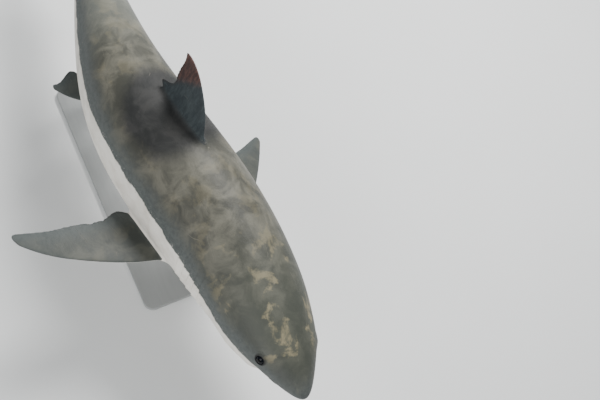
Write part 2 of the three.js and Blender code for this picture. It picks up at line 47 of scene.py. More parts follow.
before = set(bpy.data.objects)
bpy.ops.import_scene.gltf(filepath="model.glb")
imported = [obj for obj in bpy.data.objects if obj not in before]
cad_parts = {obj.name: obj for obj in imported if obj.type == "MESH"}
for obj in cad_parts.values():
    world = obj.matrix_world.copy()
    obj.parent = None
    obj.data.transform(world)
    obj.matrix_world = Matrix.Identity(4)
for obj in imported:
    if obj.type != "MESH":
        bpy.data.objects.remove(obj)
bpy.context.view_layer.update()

# ---------------------------------------------------------------- driving dimensions
TOTAL_LENGTH = 4.0
PERCENT = TOTAL_LENGTH / 100  # metres in one per cent of the total length
BANK = math.radians(20)  # left side down
SPINE_HEIGHT = 0.88

# Rows in per cent of the total length, as in the solids.
HEADINGS = [(0, -1), (20, 5), (38, 12), (60, -6), (80, -10), (100, -2)]  # station, degrees
BODY = [  # station, back, belly, half width
    (0, 0, 0, 0),
    (1.5, 1.65, -1.25, 1.85),
    (4, 3.05, -2.2, 3.4),
    (7, 4.5, -3.2, 4.9),
    (11, 5.9, -4.9, 6.25),
    (17, 7.3, -6.9, 7.25),
    (25, 8.5, -8.5, 7.9),
    (34, 9.2, -9.4, 8.15),
    (43, 8.9, -9.4, 7.95),
    (53, 7.6, -8.3, 6.95),
    (63, 5.6, -6.1, 5.2),
    (72, 3.7, -4.2, 3.6),
    (79, 2.45, -2.7, 2.4),
    (84, 2.1, -2.1, 1.75),
    (88.5, 1.4, -1.4, 1.0),
    (91.2, 0.4, -0.4, 0.15),
]
BACK_POWER, BELLY_POWER = 2.0, 2.25  # of the section's rounded outline: 2 is an ellipse
WIDEST = 0.6  # more than any half width of the body
CHIN = {"depth": 1.0, "front": 6.2, "full": 8.0, "fade": 9.5, "end": 17}
MOUTH = {
    "front": 5.7,
    "corner": 10.9,
    "upper_front": -2.95,
    "upper_corner": -3.45,
    "lower_front": -3.95,
    "lower_corner": -3.58,
}
GUM = {"inset": 0.0085, "thickness": 0.0032, "proud": 0.007, "height": 0.034, "fade": (11.2, 12.2)}
HOLLOW = {"inset": 0.036, "above": 0.034, "below": 0.030, "end": 14.2}  # behind the teeth
# Folds round the mouth: depth, offset from their lip and half height in metres, then station and reach.
FOLDS = {
    "corner": (0.010, 0.0, 0.0055, 11.5, 0.8),
    "upper": (0.0045, 0.021, 0.005, 9.7, 1.5),
    "lower": (0.0055, -0.030, 0.0065, 10.3, 1.2),
    "lips": (-0.0045, 0.030, 0.013, 8.4, 3.0),
    "cheek": (-0.004, 0.034, 0.014, 11.9, 0.9),
}
EYE = {"station": 7.1, "level": 1.15, "radius": 0.034, "opening": 0.023}
NOSTRIL = {
    "station": 4.2,
    "level": -1.25,
    "length": 0.036,
    "width": 0.009,
    "slant": 35,
    "bow": 0.004,
    "flare": 0.003,  # how far the rim round it stands proud
    "flare_out": 0.011,
    "flare_width": 0.006,
}
GILLS = {
    "count": 5,
    "first": 19.7,
    "spacing": 1.42,
    "top": 2.4,
    "bottom": -5.6,
    "shrink": 0.35,  # how much shorter each slit is than the one ahead of it
    "lean": 1.0,
    "bow": 0.7,
    "waver": 0.05,
}
GILL_DEPTH, GILL_WIDTH, GILL_FLAP = 0.022, 0.013, 0.007
KEEL = {"start": 75, "peak": 84.5, "end": 91.5, "reach": 3.15, "thickness": 0.022}
PITS = {"station": 81.8, "long": 0.55, "wide": 0.03, "depth": 0.011}  # across the tail stalk
TONGUE = {"station": 9.9, "length": 0.105, "width": 0.085, "thickness": 0.028, "drop": 0.036}
LIDS = {
    "out": 0.0042,  # from the edge of the opening to the middle of the rim's round
    "sunk": 0.0022,
    "arch": 0.0016,  # how much prouder the upper lid is than the lower
    "radius": 0.0046,
    "gap": 0.0012,  # between the eyeball and its socket
}
ROD_STATIONS = (31, 65.5)

# Fins: a plan row is share of the span, leading edge and trailing edge behind the root station.
FINS = {
    "dorsal_first": {
        "root": 37,
        "span": 9.7,
        "thickness": 1.0,
        "fillet": 0.05,
        "plan": [(-0.2, -0.6, 8.8), (0, 0, 9.2), (0.09, 0.6, 11.3), (0.22, 1.2, 10.1), (0.5, 2.7, 9.5)]
        + [(0.8, 5.4, 9.5), (0.95, 7.8, 9.85), (1, 9.2, 10.1)],
    },
    "dorsal_second": {
        "root": 71.8,
        "span": 1.6,
        "thickness": 0.3,
        "fillet": 0.02,
        "plan": [(-0.5, -0.2, 1.1), (0, 0, 1.3), (0.25, 0.4, 2.6), (0.6, 0.9, 1.9), (1, 1.5, 1.95)],
    },
    "anal": {
        "root": 73.4,
        "span": 1.9,
        "thickness": 0.3,
        "fillet": 0.02,
        "down": True,
        "plan": [(-0.5, -0.2, 1.2), (0, 0, 1.4), (0.25, 0.45, 2.7), (0.6, 1.05, 2.0), (1, 1.75, 2.2)],
    },
    "pectoral": {
        "root": 27.6,
        "level": -5.4,
        "out": 5.6,
        "span": 18.2,
        "thickness": 1.1,
        "fillet": 0.05,
        "dihedral": -4,
        "droop": 1.3,
        "pitch": 5,
        "plan": [(-0.15, -0.8, 5.9), (0, 0, 6.6), (0.1, 0.9, 10.2), (0.25, 2.1, 10.9), (0.5, 4.9, 11.9)]
        + [(0.72, 8.1, 12.9), (0.9, 11.4, 14.1), (1, 13.7, 14.7)],
    },
    "pelvic": {
        "root": 55.4,
        "level": -5.9,
        "out": 3.4,
        "span": 4.9,
        "thickness": 0.5,
        "fillet": 0.03,
        "dihedral": -24,
        "droop": 0.4,
        "pitch": 0,
        "plan": [(-0.35, -0.4, 4.2), (0, 0, 4.7), (0.3, 0.9, 6.5), (0.65, 2.3, 5.4), (1, 4.3, 4.9)],
    },
    "caudal_upper": {
        "root": 82.6,
        "level": 0,
        "span": 16.2,
        "thickness": 1.25,
        "fillet": 0.03,
        "plan": [(0, 0.9, 9.2), (0.13, 1.6, 9.3), (0.28, 3.9, 9.9), (0.5, 7.6, 11.7), (0.7, 10.9, 13.8)]
        + [(0.82, 13.0, 15.3), (0.88, 14.1, 15.9), (0.94, 15.3, 17.0), (1, 16.8, 17.4)],
    },
    "caudal_lower": {
        "root": 82.6,
        "level": 0,
        "span": 12.6,
        "thickness": 1.25,
        "fillet": 0.03,
        "down": True,
        "plan": [(0, 0.9, 9.2), (0.16, 1.7, 9.1), (0.35, 3.7, 9.3), (0.6, 6.5, 10.1), (0.85, 9.6, 11.5)]
        + [(1, 11.6, 12.2)],
    },
}
FAR = 1.0  # a distance larger than any that matters
LOBES = ("caudal_upper", "caudal_lower")  # of the tail fin
LOBE_OVERLAP = 0.06  # how far each lobe runs past the spine, as a share of its span


# ---------------------------------------------------------------- curves and blends
def natural_spline(knots, values):
    """A natural cubic spline through the knots, as a function of an array."""
    knots, values = np.array(knots, float), np.array(values, float)
    step = np.diff(knots)
    system, rise = np.eye(len(knots)), np.zeros(len(knots))
    for i in range(1, len(knots) - 1):
        system[i, i - 1 : i + 2] = step[i - 1], 2 * (step[i - 1] + step[i]), step[i]
        slopes = (values[i - 1 : i + 2][1:] - values[i - 1 : i + 2][:-1]) / step[i - 1 : i + 1]
        rise[i] = 6 * (slopes[1] - slopes[0])
    bend = np.linalg.solve(system, rise)

    def curve(x):
        i = np.clip(np.searchsorted(knots, x, side="right") - 1, 0, len(step) - 1)
        a = (knots[i + 1] - x) / step[i]
        b = 1 - a
        bow = ((a**3 - a) * bend[i] + (b**3 - b) * bend[i + 1]) * step[i] ** 2 / 6
        return a * values[i] + b * values[i + 1] + bow

    return curve


def smooth_step(low, high, x):
    """0 below low, 1 above high, and smooth between."""
    t = np.clip((x - low) / (high - low), 0, 1)
    return t * t * (3 - 2 * t)


def join(a, b, radius):
    """The union of two solids, with a fillet of about this radius."""
    h = np.maximum(radius - np.abs(a - b), 0) / radius
    return np.minimum(a, b) - h * h * radius / 4


def cut(a, b, radius):
    """Solid a with solid b taken away, with rounded lips."""
    return -join(-a, b, radius)


def bell(*terms):
    """A bump that is 1 in the middle and fades over the given (offset, width) pairs."""
    return np.exp(-sum((offset / width) ** 2 for offset, width in terms))


# ---------------------------------------------------------------- the body's section
ROOTS = np.linspace(0, 10, 4001)  # square root of the station, which makes the snout round


def body_line(column):
    """One line of the body's outline at every root, in metres."""
    rows = np.array(BODY, float)
    stations = np.minimum(ROOTS**2, rows[-1, 0])
    return natural_spline(np.sqrt(rows[:, 0]), rows[:, column])(np.sqrt(stations)) * PERCENT


def chin_drop(station):
    """How much lower the belly line runs under the jaw."""
    onset = smooth_step(CHIN["front"], CHIN["full"], station)
    return CHIN["depth"] * PERCENT * onset * (1 - smooth_step(CHIN["fade"], CHIN["end"], station))


TOP, HALF = body_line(1), body_line(3)
BOTTOM = body_line(2) - chin_drop(ROOTS**2)
MIDDLE = (TOP + BOTTOM) / 2
SECTION_TABLE = [MIDDLE, HALF, TOP - MIDDLE] + [
    np.gradient(line, ROOTS) for line in (MIDDLE, HALF, TOP - MIDDLE)
]


def section(x):
    """Middle height, half width and half height of the body at x, with their slopes along the root."""
    root = np.sqrt(np.clip(-x / PERCENT, 1e-4, None))
    return root, [np.interp(root, ROOTS, line) for line in SECTION_TABLE]


def body_distance(x, y, z):
    """Distance to the bare body, near its surface: negative inside."""
    root, (middle, half, rise, middle_slope, half_slope, rise_slope) = section(x)
    up = z - middle
    power = np.where(up > 0, BACK_POWER, BELLY_POWER)
    wide, high = np.abs(y) / half, np.abs(up) / rise
    wide_part, high_part = wide ** (power - 1), high ** (power - 1)
    ring = (wide * wide_part + high * high_part) ** (1 / power) + 1e-9
    scale = (1 / ring) ** (power - 1)
    across = wide_part / half
    upward = high_part / rise
    lengthways = np.sign(up) * middle_slope + high * rise_slope
    along = wide_part * wide * half_slope / half + high_part * lengthways / rise
    along = along / (2 * root * PERCENT)
    steep = scale * np.sqrt(across**2 + upward**2 + along**2) + 1e-9
    flat = (ring - 1) / steep
    ahead = np.maximum(x, 0)
    behind = -x - BODY[-1][0] * PERCENT
    return np.maximum(np.where(ahead > 0, np.hypot(np.maximum(flat, 0), ahead), flat), behind)


def skin_half_width(station, z):
    """Half width of the bare body at a station, in per cent, and a height in metres, by halving."""
    x = -station * PERCENT
    low, high = 0.0, WIDEST
    for _ in range(40):
        half = (low + high) / 2
        inside = body_distance(np.array([x]), np.array([half]), np.array([z]))[0] < 0
        low, high = (half, high) if inside else (low, half)
    return low


# ---------------------------------------------------------------- fins
class Fin:
    """One fin: a plan outline in the plane (back, out), with a thickness across it."""

    EDGE = 0.003  # half thickness added all over, so that the fin stays stout to its edge
    CELL = 0.003  # of the table of in-plane distances
    MARGIN = 0.06  # of that table, round the outline
    ROWS = 240  # points along each edge
    TIP = 0.965  # share of those points that comes before the rounded tip
    WAVES = (23, 41, 67, 113)  # of the trailing edge, from coarse to fine
    WAVE, NICK, NICK_WIDTH = 0.015, 0.006, 0.012
    FOIL = (1.4845, -0.63, -1.758, 1.4215, -0.518)  # the usual rounded aerofoil's half thickness
    THINNING, THINNING_POWER = 0.8, 1.3  # from root to tip

    def __init__(self, name):
        self.form = FINS[name]
        self.fillet = self.form["fillet"]
        self.root = self.form["root"] * PERCENT
        self.span = self.form["span"] * PERCENT
        self.paired = "out" in self.form
        plan = np.array(self.form["plan"], float)
        on_spine = "level" in self.form and not self.paired
        self.heights = np.linspace(plan[0, 0] - LOBE_OVERLAP * on_spine, 1, self.ROWS)
        self.lead = natural_spline(plan[:, 0], plan[:, 1])(self.heights) * PERCENT
        self.trail = natural_spline(plan[:, 0], plan[:, 2])(self.heights) * PERCENT
        self.trail += self.ragged(name)
        self.heights = self.heights * self.span
        self.outline = self.close()
        self.tabulate()
        self.place()

    def ragged(self, name):
        """Small nicks and waves of the trailing edge."""
        random = np.random.default_rng(len(name) * 7 + 3)
        wave = np.zeros_like(self.heights)
        for count in self.WAVES:
            wave += np.sin(self.heights * count * 4 + random.uniform(0, 6.3)) * self.WAVE / count
        nicks = sum(bell((self.heights - at, self.NICK_WIDTH)) for at in random.uniform(0.3, 0.85, 3))
        fade = smooth_step(0.15, 0.35, self.heights) * (1 - smooth_step(0.85, 0.97, self.heights))
        small_fin = min(1, self.span / 0.35) ** 2
        return (wave - self.NICK * nicks) * fade * small_fin

    def close(self):
        """The outline from the root up the leading edge, round the tip and back down."""
        up = np.column_stack([self.lead, self.heights])
        down = np.column_stack([self.trail, self.heights])[::-1]
        cap = int(len(up) * self.TIP)
        t = np.linspace(0, 1, 14)[:, None]
        corner = (up[-1] + down[0]) / 2
        tip = (1 - t) ** 2 * up[cap] + 2 * t * (1 - t) * corner + t**2 * down[-cap - 1]
        return np.vstack([up[:cap], tip, down[-cap:]])

    def tabulate(self):
        """A table of in-plane distances to the outline, negative inside."""
        self.low = self.outline.min(axis=0) - self.MARGIN
        self.high = self.outline.max(axis=0) + self.MARGIN
        count = np.ceil((self.high - self.low) / self.CELL).astype(int) + 1
        axes = [self.low[i] + self.CELL * np.arange(count[i]) for i in (0, 1)]
        back, out = np.meshgrid(*axes, indexing="ij")
        best = np.full(back.shape, FAR)
        inside = np.zeros(back.shape, bool)
        for (x0, y0), (x1, y1) in zip(self.outline, np.roll(self.outline, -1, axis=0)):
            dx, dy = x1 - x0, y1 - y0
            t = np.clip(((back - x0) * dx + (out - y0) * dy) / (dx * dx + dy * dy + 1e-12), 0, 1)
            np.minimum(best, np.hypot(back - x0 - t * dx, out - y0 - t * dy), out=best)
            if y0 != y1:
                crossing = (y0 > out) != (y1 > out)
                inside ^= crossing & (back < x0 + (out - y0) / (y1 - y0) * dx)
        self.table = np.where(inside, -best, best)

    def edge_distance(self, back, out):
        """In-plane distance to the outline, read from the table."""
        i = np.clip((back - self.low[0]) / self.CELL, 0, self.table.shape[0] - 1.001)
        j = np.clip((out - self.low[1]) / self.CELL, 0, self.table.shape[1] - 1.001)
        a, b = i.astype(int), j.astype(int)
        i, j = i - a, j - b
        near = self.table[a, b] * (1 - i) + self.table[a + 1, b] * i
        far = self.table[a, b + 1] * (1 - i) + self.table[a + 1, b + 1] * i
        return near * (1 - j) + far * j

    def place(self):
        """The fin's own axes, and the box round it in the straight frame."""
        form = self.form
        self.sign = -1 if form.get("down") else 1
        if self.paired:
            self.level, self.outer = form["level"] * PERCENT, form["out"] * PERCENT
            self.tilt = math.radians(form["dihedral"])
            self.pitch = math.tan(math.radians(form["pitch"]))
            drop = self.span * math.sin(-self.tilt) + (form["droop"] + 1) * PERCENT + self.pitch * 0.5
            lows = self.outer + self.low[1], self.level - drop - 0.05
            highs = self.outer + self.high[1], self.level + 0.13
        else:
            self.base, self.slope = 0.0, 0.0
            if "level" not in form:
                chord = form["plan"][1][2] * PERCENT
                ends = -self.root, -self.root - chord
                sides = [section(np.array([x]))[1] for x in ends]
                heights = [float(s[0][0] + self.sign * s[2][0]) for s in sides]
                self.base, self.slope = heights[0], (heights[1] - heights[0]) / chord
            reach = sorted(self.base + self.sign * h for h in (self.low[1], self.high[1]))
            lows, highs = (-0.1, reach[0] - 0.03), (0.1, reach[1] + 0.03)
        self.box = np.array([(-self.root - self.high[0], -self.root - self.low[0]), *zip(lows, highs)])

    def middle_height(self, x, y):
        """Height of a paired fin's middle surface over its root level."""
        share = np.clip((y - self.outer) / math.cos(self.tilt) / self.span, 0, 1.1)
        rise = np.maximum(y - self.outer, 0) * math.tan(self.tilt)
        return rise - self.form["droop"] * PERCENT * share**2 - self.pitch * (-x - self.root)

    def local(self, x, y, z):
        """Distances back from the root station, out along the span, and off the fin's plane."""
        back = -x - self.root
        if not self.paired:
            return back, self.sign * (z - self.base - self.slope * back), np.abs(y)
        across = y - self.outer
        share = np.clip(across / math.cos(self.tilt) / self.span, 0, 1.1)
        lift = z - self.level + self.form["droop"] * PERCENT * share**2 + self.pitch * back
        out = across * math.cos(self.tilt) + lift * math.sin(self.tilt)
        return back, out, lift * math.cos(self.tilt) - across * math.sin(self.tilt)

    def distance(self, x, y, z):
        """Distance to the fin's surface, negative inside."""
        back, out, off = self.local(x, y, z)
        edge = self.edge_distance(back, out)
        lead = np.interp(out, self.heights, self.lead)
        u = np.clip((back - lead) / (np.interp(out, self.heights, self.trail) - lead), 0, 1)
        v = np.clip(out / self.span, 0, 1)
        foil = self.FOIL[0] * np.sqrt(u) + sum(part * u**i for i, part in enumerate(self.FOIL[1:], 1))
        thick = self.form["thickness"] * PERCENT * (1 - self.THINNING * v**self.THINNING_POWER) / 2
        half = thick * foil + self.EDGE * (1 - 0.75 * u)
        rounding = 0.0008 + 0.007 * (1 - u) ** 2
        half = np.minimum(half, np.sqrt(2 * rounding * np.maximum(-edge, 0)))
        return np.where(edge > 0, np.hypot(off, edge), np.abs(off) - half)

    def reach(self, x, y, z):
        """Which points lie in the box round the fin."""
        near = np.ones(x.shape, bool)
        for value, (low, high) in zip((x, y, z), self.box):
            near &= (value > low) & (value < high)
        return near

    def add_to(self, field, x, y, z):
        """Joins the fin to the field, with its fillet, wherever its box reaches."""
        near = self.reach(x, y, z)
        if near.any():
            fin = self.distance(x[near], y[near], z[near])
            field[near] = join(field[near], fin, self.fillet)


FIN = {name: Fin(name) for name in FINS}


# ---------------------------------------------------------------- the straight shark's field
def eye_seat():
    """The left eyeball's centre, the way it looks, and how far below the skin its centre lies."""
    depth = math.sqrt(EYE["radius"] ** 2 - EYE["opening"] ** 2)
    z = EYE["level"] * PERCENT
    skin = np.array([-EYE["station"] * PERCENT, skin_half_width(EYE["station"], z), z])
    around = skin + np.vstack([np.eye(3), -np.eye(3)]) * 1e-3
    values = body_distance(*around.T)
    outward = values[:3] - values[3:]
    outward /= np.linalg.norm(outward)
    return skin - (0, depth, 0), outward, depth * outward[1]


EYE_CENTRE, EYE_OUTWARD, EYE_DEPTH = eye_seat()
NOSTRIL_CENTRE = np.array([-NOSTRIL["station"], 0, NOSTRIL["level"]]) * PERCENT
NOSTRIL_CENTRE[1] = skin_half_width(NOSTRIL["station"], NOSTRIL_CENTRE[2])


def lip_height(station, lip):
    """Height of the upper or lower lip's edge, straight from front to corner."""
    share = (station - MOUTH["front"]) / (MOUTH["corner"] - MOUTH["front"])
    front, corner = MOUTH[lip + "_front"], MOUTH[lip + "_corner"]
    return (front + (corner - front) * share) * PERCENT


# Swellings and hollows of the skin: metres out, then the station and level of the middle, each with its
# reach. A third pair is for one that also fades across the body.
MUSCLES = {
    "brow": (0.005, (7.2, 2.6), (2.9, 0.9)),
    "cheek": (0.007, (12.8, 3.0), (-2.2, 2.0)),
    "temple": (-0.004, (10.4, 2.2), (1.0, 1.6)),
    "shoulder": (0.007, (30, 6), (-1.2, 3.2)),
    "flank hollow": (-0.004, (62, 14), (1.6, 1.0)),
    "flank ridge": (0.003, (66, 12), (0, 1.0)),
    "throat": (0.004, (9.5, 2.2), (-5.4, 1.0), (0, 2.4)),
}


def muscle(x, y, z):
    """How far the skin stands proud of the plain body."""
    place = -x / PERCENT, z / PERCENT, y / PERCENT
    proud = 0
    for height, *spots in MUSCLES.values():
        proud = proud + height * bell(*((at - centre, reach) for at, (centre, reach) in zip(place, spots)))
    return proud


def add_eye_rim(field, x, y, z):
    """The lids' thick rim round the eye, with a shallow fold outside it."""
    away = [value - centre for value, centre in zip((x, y, z), EYE_CENTRE)]
    out = sum(value * part for value, part in zip(away, EYE_OUTWARD))
    far = np.sqrt(sum(value**2 for value in away))
    off = np.sqrt(np.maximum(far**2 - out**2, 0))
    above = away[2] / np.maximum(off, 1e-4)
    opening = math.sqrt(EYE["radius"] ** 2 - EYE_DEPTH**2)
    beyond, proud = off - opening, out - EYE_DEPTH
    crest = beyond - LIDS["out"], proud + LIDS["sunk"] - LIDS["arch"] * above
    field = join(field, np.hypot(*crest) - LIDS["radius"], 0.011)
    fold = 0.0024 * bell((beyond - 0.0165 - 0.003 * above, 0.0045)) * (0.15 + 0.85 * above)
    brow = 0.0035 * bell((beyond - 0.028, 0.012)) * np.maximum(above, 0)
    field = field + (np.maximum(fold, 0) - brow) * bell((proud, 0.03))
    return cut(field, far - EYE["radius"] - LIDS["gap"], 0.0032)


def add_nostril(field, x, y, z):
    """A bowed slanting slot with a soft rim."""
    cx, cy, cz = NOSTRIL_CENTRE
    slant = math.radians(NOSTRIL["slant"])
    half = (NOSTRIL["length"] - NOSTRIL["width"]) / 2
    along = (x - cx) * math.cos(slant) + (z - cz) * math.sin(slant)
    aside = (z - cz) * math.cos(slant) - (x - cx) * math.sin(slant)
    bowed = aside - NOSTRIL["bow"] * (1 - (along / half) ** 2)
    reach = np.maximum(np.abs(along) - half, 0)
    slot = np.sqrt(reach**2 + bowed**2 + ((y - cy) * 0.4) ** 2) - NOSTRIL["width"] / 2
    beyond = np.hypot(along * 0.6, bowed) - NOSTRIL["flare_out"]
    field = field - NOSTRIL["flare"] * bell((beyond, NOSTRIL["flare_width"]), (y - cy, 0.03))
    return cut(field, slot, 0.004)


def add_mouth(field, body, x, y, z):
    """The parted lips, the furrows at their corners, the gums and the hollow behind the teeth."""
    s = -x / PERCENT
    upper, lower = lip_height(s, "upper"), lip_height(s, "lower")
    middle = (upper + lower) / 2
    field = field + lip_folds(s, z, upper, lower, middle)
    wedge = np.maximum(np.maximum(z - upper, lower - z), (s - MOUTH["corner"]) * PERCENT)
    wedge = np.maximum(wedge, (MOUTH["front"] - 0.6 - s) * PERCENT)
    field = cut(field, wedge, 0.013)
    in_mouth = bell((z - middle, GUM["height"])) * (1 - smooth_step(*GUM["fade"], s))
    field = field + GUM["proud"] * bell((body + GUM["inset"], GUM["thickness"])) * in_mouth
    height = np.maximum(z - upper - HOLLOW["above"], lower - HOLLOW["below"] - z)
    hollow = np.maximum(np.maximum(body + HOLLOW["inset"], height), (s - HOLLOW["end"]) * PERCENT)
    field = cut(field, hollow, 0.022)
    back = (x + TONGUE["station"] * PERCENT) / TONGUE["length"]
    rise = (z - lower + TONGUE["drop"]) / TONGUE["thickness"]
    tongue = (np.sqrt(back**2 + (y / TONGUE["width"]) ** 2 + rise**2) - 1) * TONGUE["thickness"]
    return join(field, tongue, 0.02)


def lip_folds(s, z, upper, lower, middle):
    """How much the skin is lowered by the furrows round the mouth, less its swelling at the lips."""
    levels = {
        "corner": z - middle - 0.012 * smooth_step(10.4, 12.6, s),
        "upper": z - upper - 0.004 * (s - 9.5),
        "lower": z - lower + 0.003 * (s - 9.5),
        "lips": np.abs(z - middle),
        "cheek": z - middle,
    }
    lowered = 0
    for name, (depth, offset, half, station, reach) in FOLDS.items():
        fold = depth * bell((levels[name] - offset, half), (s - station, reach))
        lowered = lowered + (fold * smooth_step(5.2, 6.6, s) if name == "lips" else fold)
    return lowered


def gill_line(i, share):
    """Station of a gill slit at a share of its height from the foot."""
    foot = GILLS["first"] + i * GILLS["spacing"]
    bow = GILLS["bow"] * 2 * share * (1 - share)
    return foot + GILLS["lean"] * share - bow + GILLS["waver"] * np.sin(9 * share + 2.1 * i)


def add_gills(field, body, x, z):
    """Five slits, each under the free edge of a flap that opens backwards."""
    s = -x / PERCENT
    depth = np.clip(-body, -0.012, 0.05)
    room = GILLS["spacing"] * PERCENT
    swell = np.zeros_like(x)
    slits = np.full(x.shape, FAR)
    for i in range(GILLS["count"]):
        shrink = GILLS["shrink"] * i
        low, high = (GILLS["bottom"] + shrink * 0.5) * PERCENT, (GILLS["top"] - shrink * 0.3) * PERCENT
        share = (z - low) / (high - low)
        inside = np.clip(share, 0, 1)
        taper = np.clip(4 * inside * (1 - inside), 0, 1) ** 0.7
        behind = (s - gill_line(i, inside)) * PERCENT
        ramp = np.clip(1 + behind / room, 0, 1) ** 2.2 * (1 - smooth_step(-0.0005, 0.0035, behind))
        swell = np.maximum(swell, ramp * smooth_step(-0.1, 0.14, share) * (1 - smooth_step(0.86, 1.1, share)))
        sheet = (np.abs(behind + 0.75 * depth) - GILL_WIDTH / 2 * taper * (1 - depth / 0.045)) / 1.25
        beyond = (np.abs(share - 0.5) - 0.5) * (high - low)
        sheet = np.maximum(np.maximum(sheet, depth - GILL_DEPTH * taper), beyond)
        slits = np.minimum(slits, sheet)
    return cut(field - GILL_FLAP * swell, slits, 0.0035)


def keel_distance(x, y, z):
    """Distance to the sharp keel along the side of the tail stalk."""
    s = -x / PERCENT
    swell = smooth_step(KEEL["start"], KEEL["peak"], s) * (1 - smooth_step(KEEL["peak"], KEEL["end"], s))
    reach = KEEL["reach"] * PERCENT * swell
    thick = np.maximum(KEEL["thickness"] / 2 * (1 - y / (reach + 0.03)), 0.001)
    edge = np.hypot(np.maximum(y - reach + 0.004, 0), np.maximum(np.abs(z) - thick, 0)) - 0.003 * swell
    return edge + 0.03 * (1 - smooth_step(0, 0.3, swell))


def pits(x, y, z):
    """The two notches across the tail stalk, just ahead of the tail fin."""
    s = -x / PERCENT
    notch = bell((s - PITS["station"], PITS["long"]), (y, PITS["wide"]))
    return PITS["depth"] * notch * (np.abs(z) > 0.03)


REGIONS = {"head": (-5, 15.5), "gills": (17, 29), "tail": (74, 101)}  # first and last station


def shark_field(x, y, z):
    """Distance to the straight shark's skin for y >= 0, negative inside."""
    body = body_distance(x, y, z)
    field = body - muscle(x, y, z)
    s = -x / PERCENT
    for part, (low, high) in REGIONS.items():
        near = (s > low) & (s < high) & (body < 0.1)
        if not near.any():
            continue
        at = x[near], y[near], z[near]
        if part == "head":
            local = add_mouth(field[near], body[near], *at)
            local = add_nostril(local, *at)
            field[near] = add_eye_rim(local, *at)
        elif part == "gills":
            field[near] = add_gills(field[near], body[near], at[0], at[2])
        else:
            field[near] = join(field[near], keel_distance(*at), 0.03) + pits(*at)
    for name, fin in FIN.items():
        if name not in LOBES:
            fin.add_to(field, x, y, z)
    near = np.any([FIN[name].reach(x, y, z) for name in LOBES], axis=0)
    if near.any():
        lobes = [FIN[name].distance(x[near], y[near], z[near]) for name in LOBES]
        field[near] = join(field[near], np.minimum(*lobes), FIN[LOBES[0]].fillet)
    return field


def slope_of(x, y, z, step=4e-4):
    """The field and its gradient."""
    here = shark_field(x, y, z)
    gradient = np.empty((len(x), 3))
    for axis in range(3):
        moved = [x, y, z]
        moved[axis] = moved[axis] + step
        ahead = shark_field(*moved)
        moved[axis] = moved[axis] - 2 * step
        gradient[:, axis] = (ahead - shark_field(*moved)) / (2 * step)
    return here, gradient


# ---------------------------------------------------------------- contouring
BLOCK = 8  # cells along each side of a block
BATCH = 600  # blocks sampled at a time
CUBE = [(a, b, c) for a in (0, 1) for b in (0, 1) for c in (0, 1)]  # a cell's corners
EDGE_TURNS = ((0, 1), (1, 2), (2, 3), (3, 0))  # round a quad
SLIDE = 0.4  # share of the way that a point moves to the mean of its neighbours
LEAST_SLOPE = 0.05  # squared, so that a step stays finite where the field is flat


def lattice_lines(stops):
    """Coordinates from a list of (position, spacing), the spacing changing evenly between stops."""
    points = [stops[0][0]]
    for (a, step_a), (b, step_b) in zip(stops, stops[1:]):
        while points[-1] < b - 0.3 * step_b:
            t = (points[-1] - a) / (b - a)
            points.append(points[-1] + step_a + (step_b - step_a) * t)
    spare = (-(len(points) - 1)) % BLOCK
    return np.array(points + [points[-1] + stops[-1][1] * (i + 1) for i in range(spare)])


def contour(lines, shear):
    """The zero surface of the shark's field on a box lattice, as (vertices, quads).

    Only blocks of cells near the surface are sampled. A cell that the surface crosses holds one
    vertex, and each crossed lattice edge is covered by one quad between its four cells.
    """
    xs, ys, zs = lines
    blocks = [(len(line) - 1) // BLOCK for line in lines]
    middles = [line[BLOCK // 2 :: BLOCK][: blocks[a]] for a, line in enumerate(lines)]
    halves = [np.diff(line[::BLOCK]) / 2 for line in lines]
    cx, cy, cz = (g.ravel() for g in np.meshgrid(*middles, indexing="ij"))
    hx, hy, hz = (g.ravel() for g in np.meshgrid(*halves, indexing="ij"))
    near = np.abs(shark_field(cx, cy, cz + shear(cx, cy))) < 1.5 * np.sqrt(hx**2 + hy**2 + hz**2) + 0.004
    active = np.flatnonzero(near)
    corner = np.stack(np.unravel_index(active, blocks), axis=1) * BLOCK

    step = np.arange(BLOCK + 1)
    cells, corners = [], []
    for part in np.array_split(corner, max(1, len(corner) // BATCH)):
        i = part[:, 0, None, None, None] + step[:, None, None]
        j = part[:, 1, None, None, None] + step[None, :, None]
        k = part[:, 2, None, None, None] + step[None, None, :]
        i, j, k = (np.broadcast_to(a, (len(part),) + (BLOCK + 1,) * 3) for a in (i, j, k))
        x, y = xs[i].ravel(), ys[j].ravel()
        value = shark_field(x, np.abs(y), zs[k].ravel() + shear(x, y)).reshape(i.shape)
        moved = [value[:, a : BLOCK + a, b : BLOCK + b, c : BLOCK + c] for a, b, c in CUBE]
        eight = np.stack(moved, axis=-1)
        inside = (eight < 0).sum(axis=-1)
        crossed = (inside > 0) & (inside < 8)
        cells.append(np.stack([a[:, :BLOCK, :BLOCK, :BLOCK][crossed] for a in (i, j, k)], axis=1))
        corners.append(eight[crossed])
    cells, value = np.concatenate(cells), np.concatenate(corners)

    keys = (cells[:, 0] * len(ys) + cells[:, 1]) * len(zs) + cells[:, 2]
    order = np.argsort(keys)
    keys, cells, value = keys[order], cells[order], value[order]
    return cell_points(lines, shear, cells, value), cell_quads(lines, cells, value, keys)


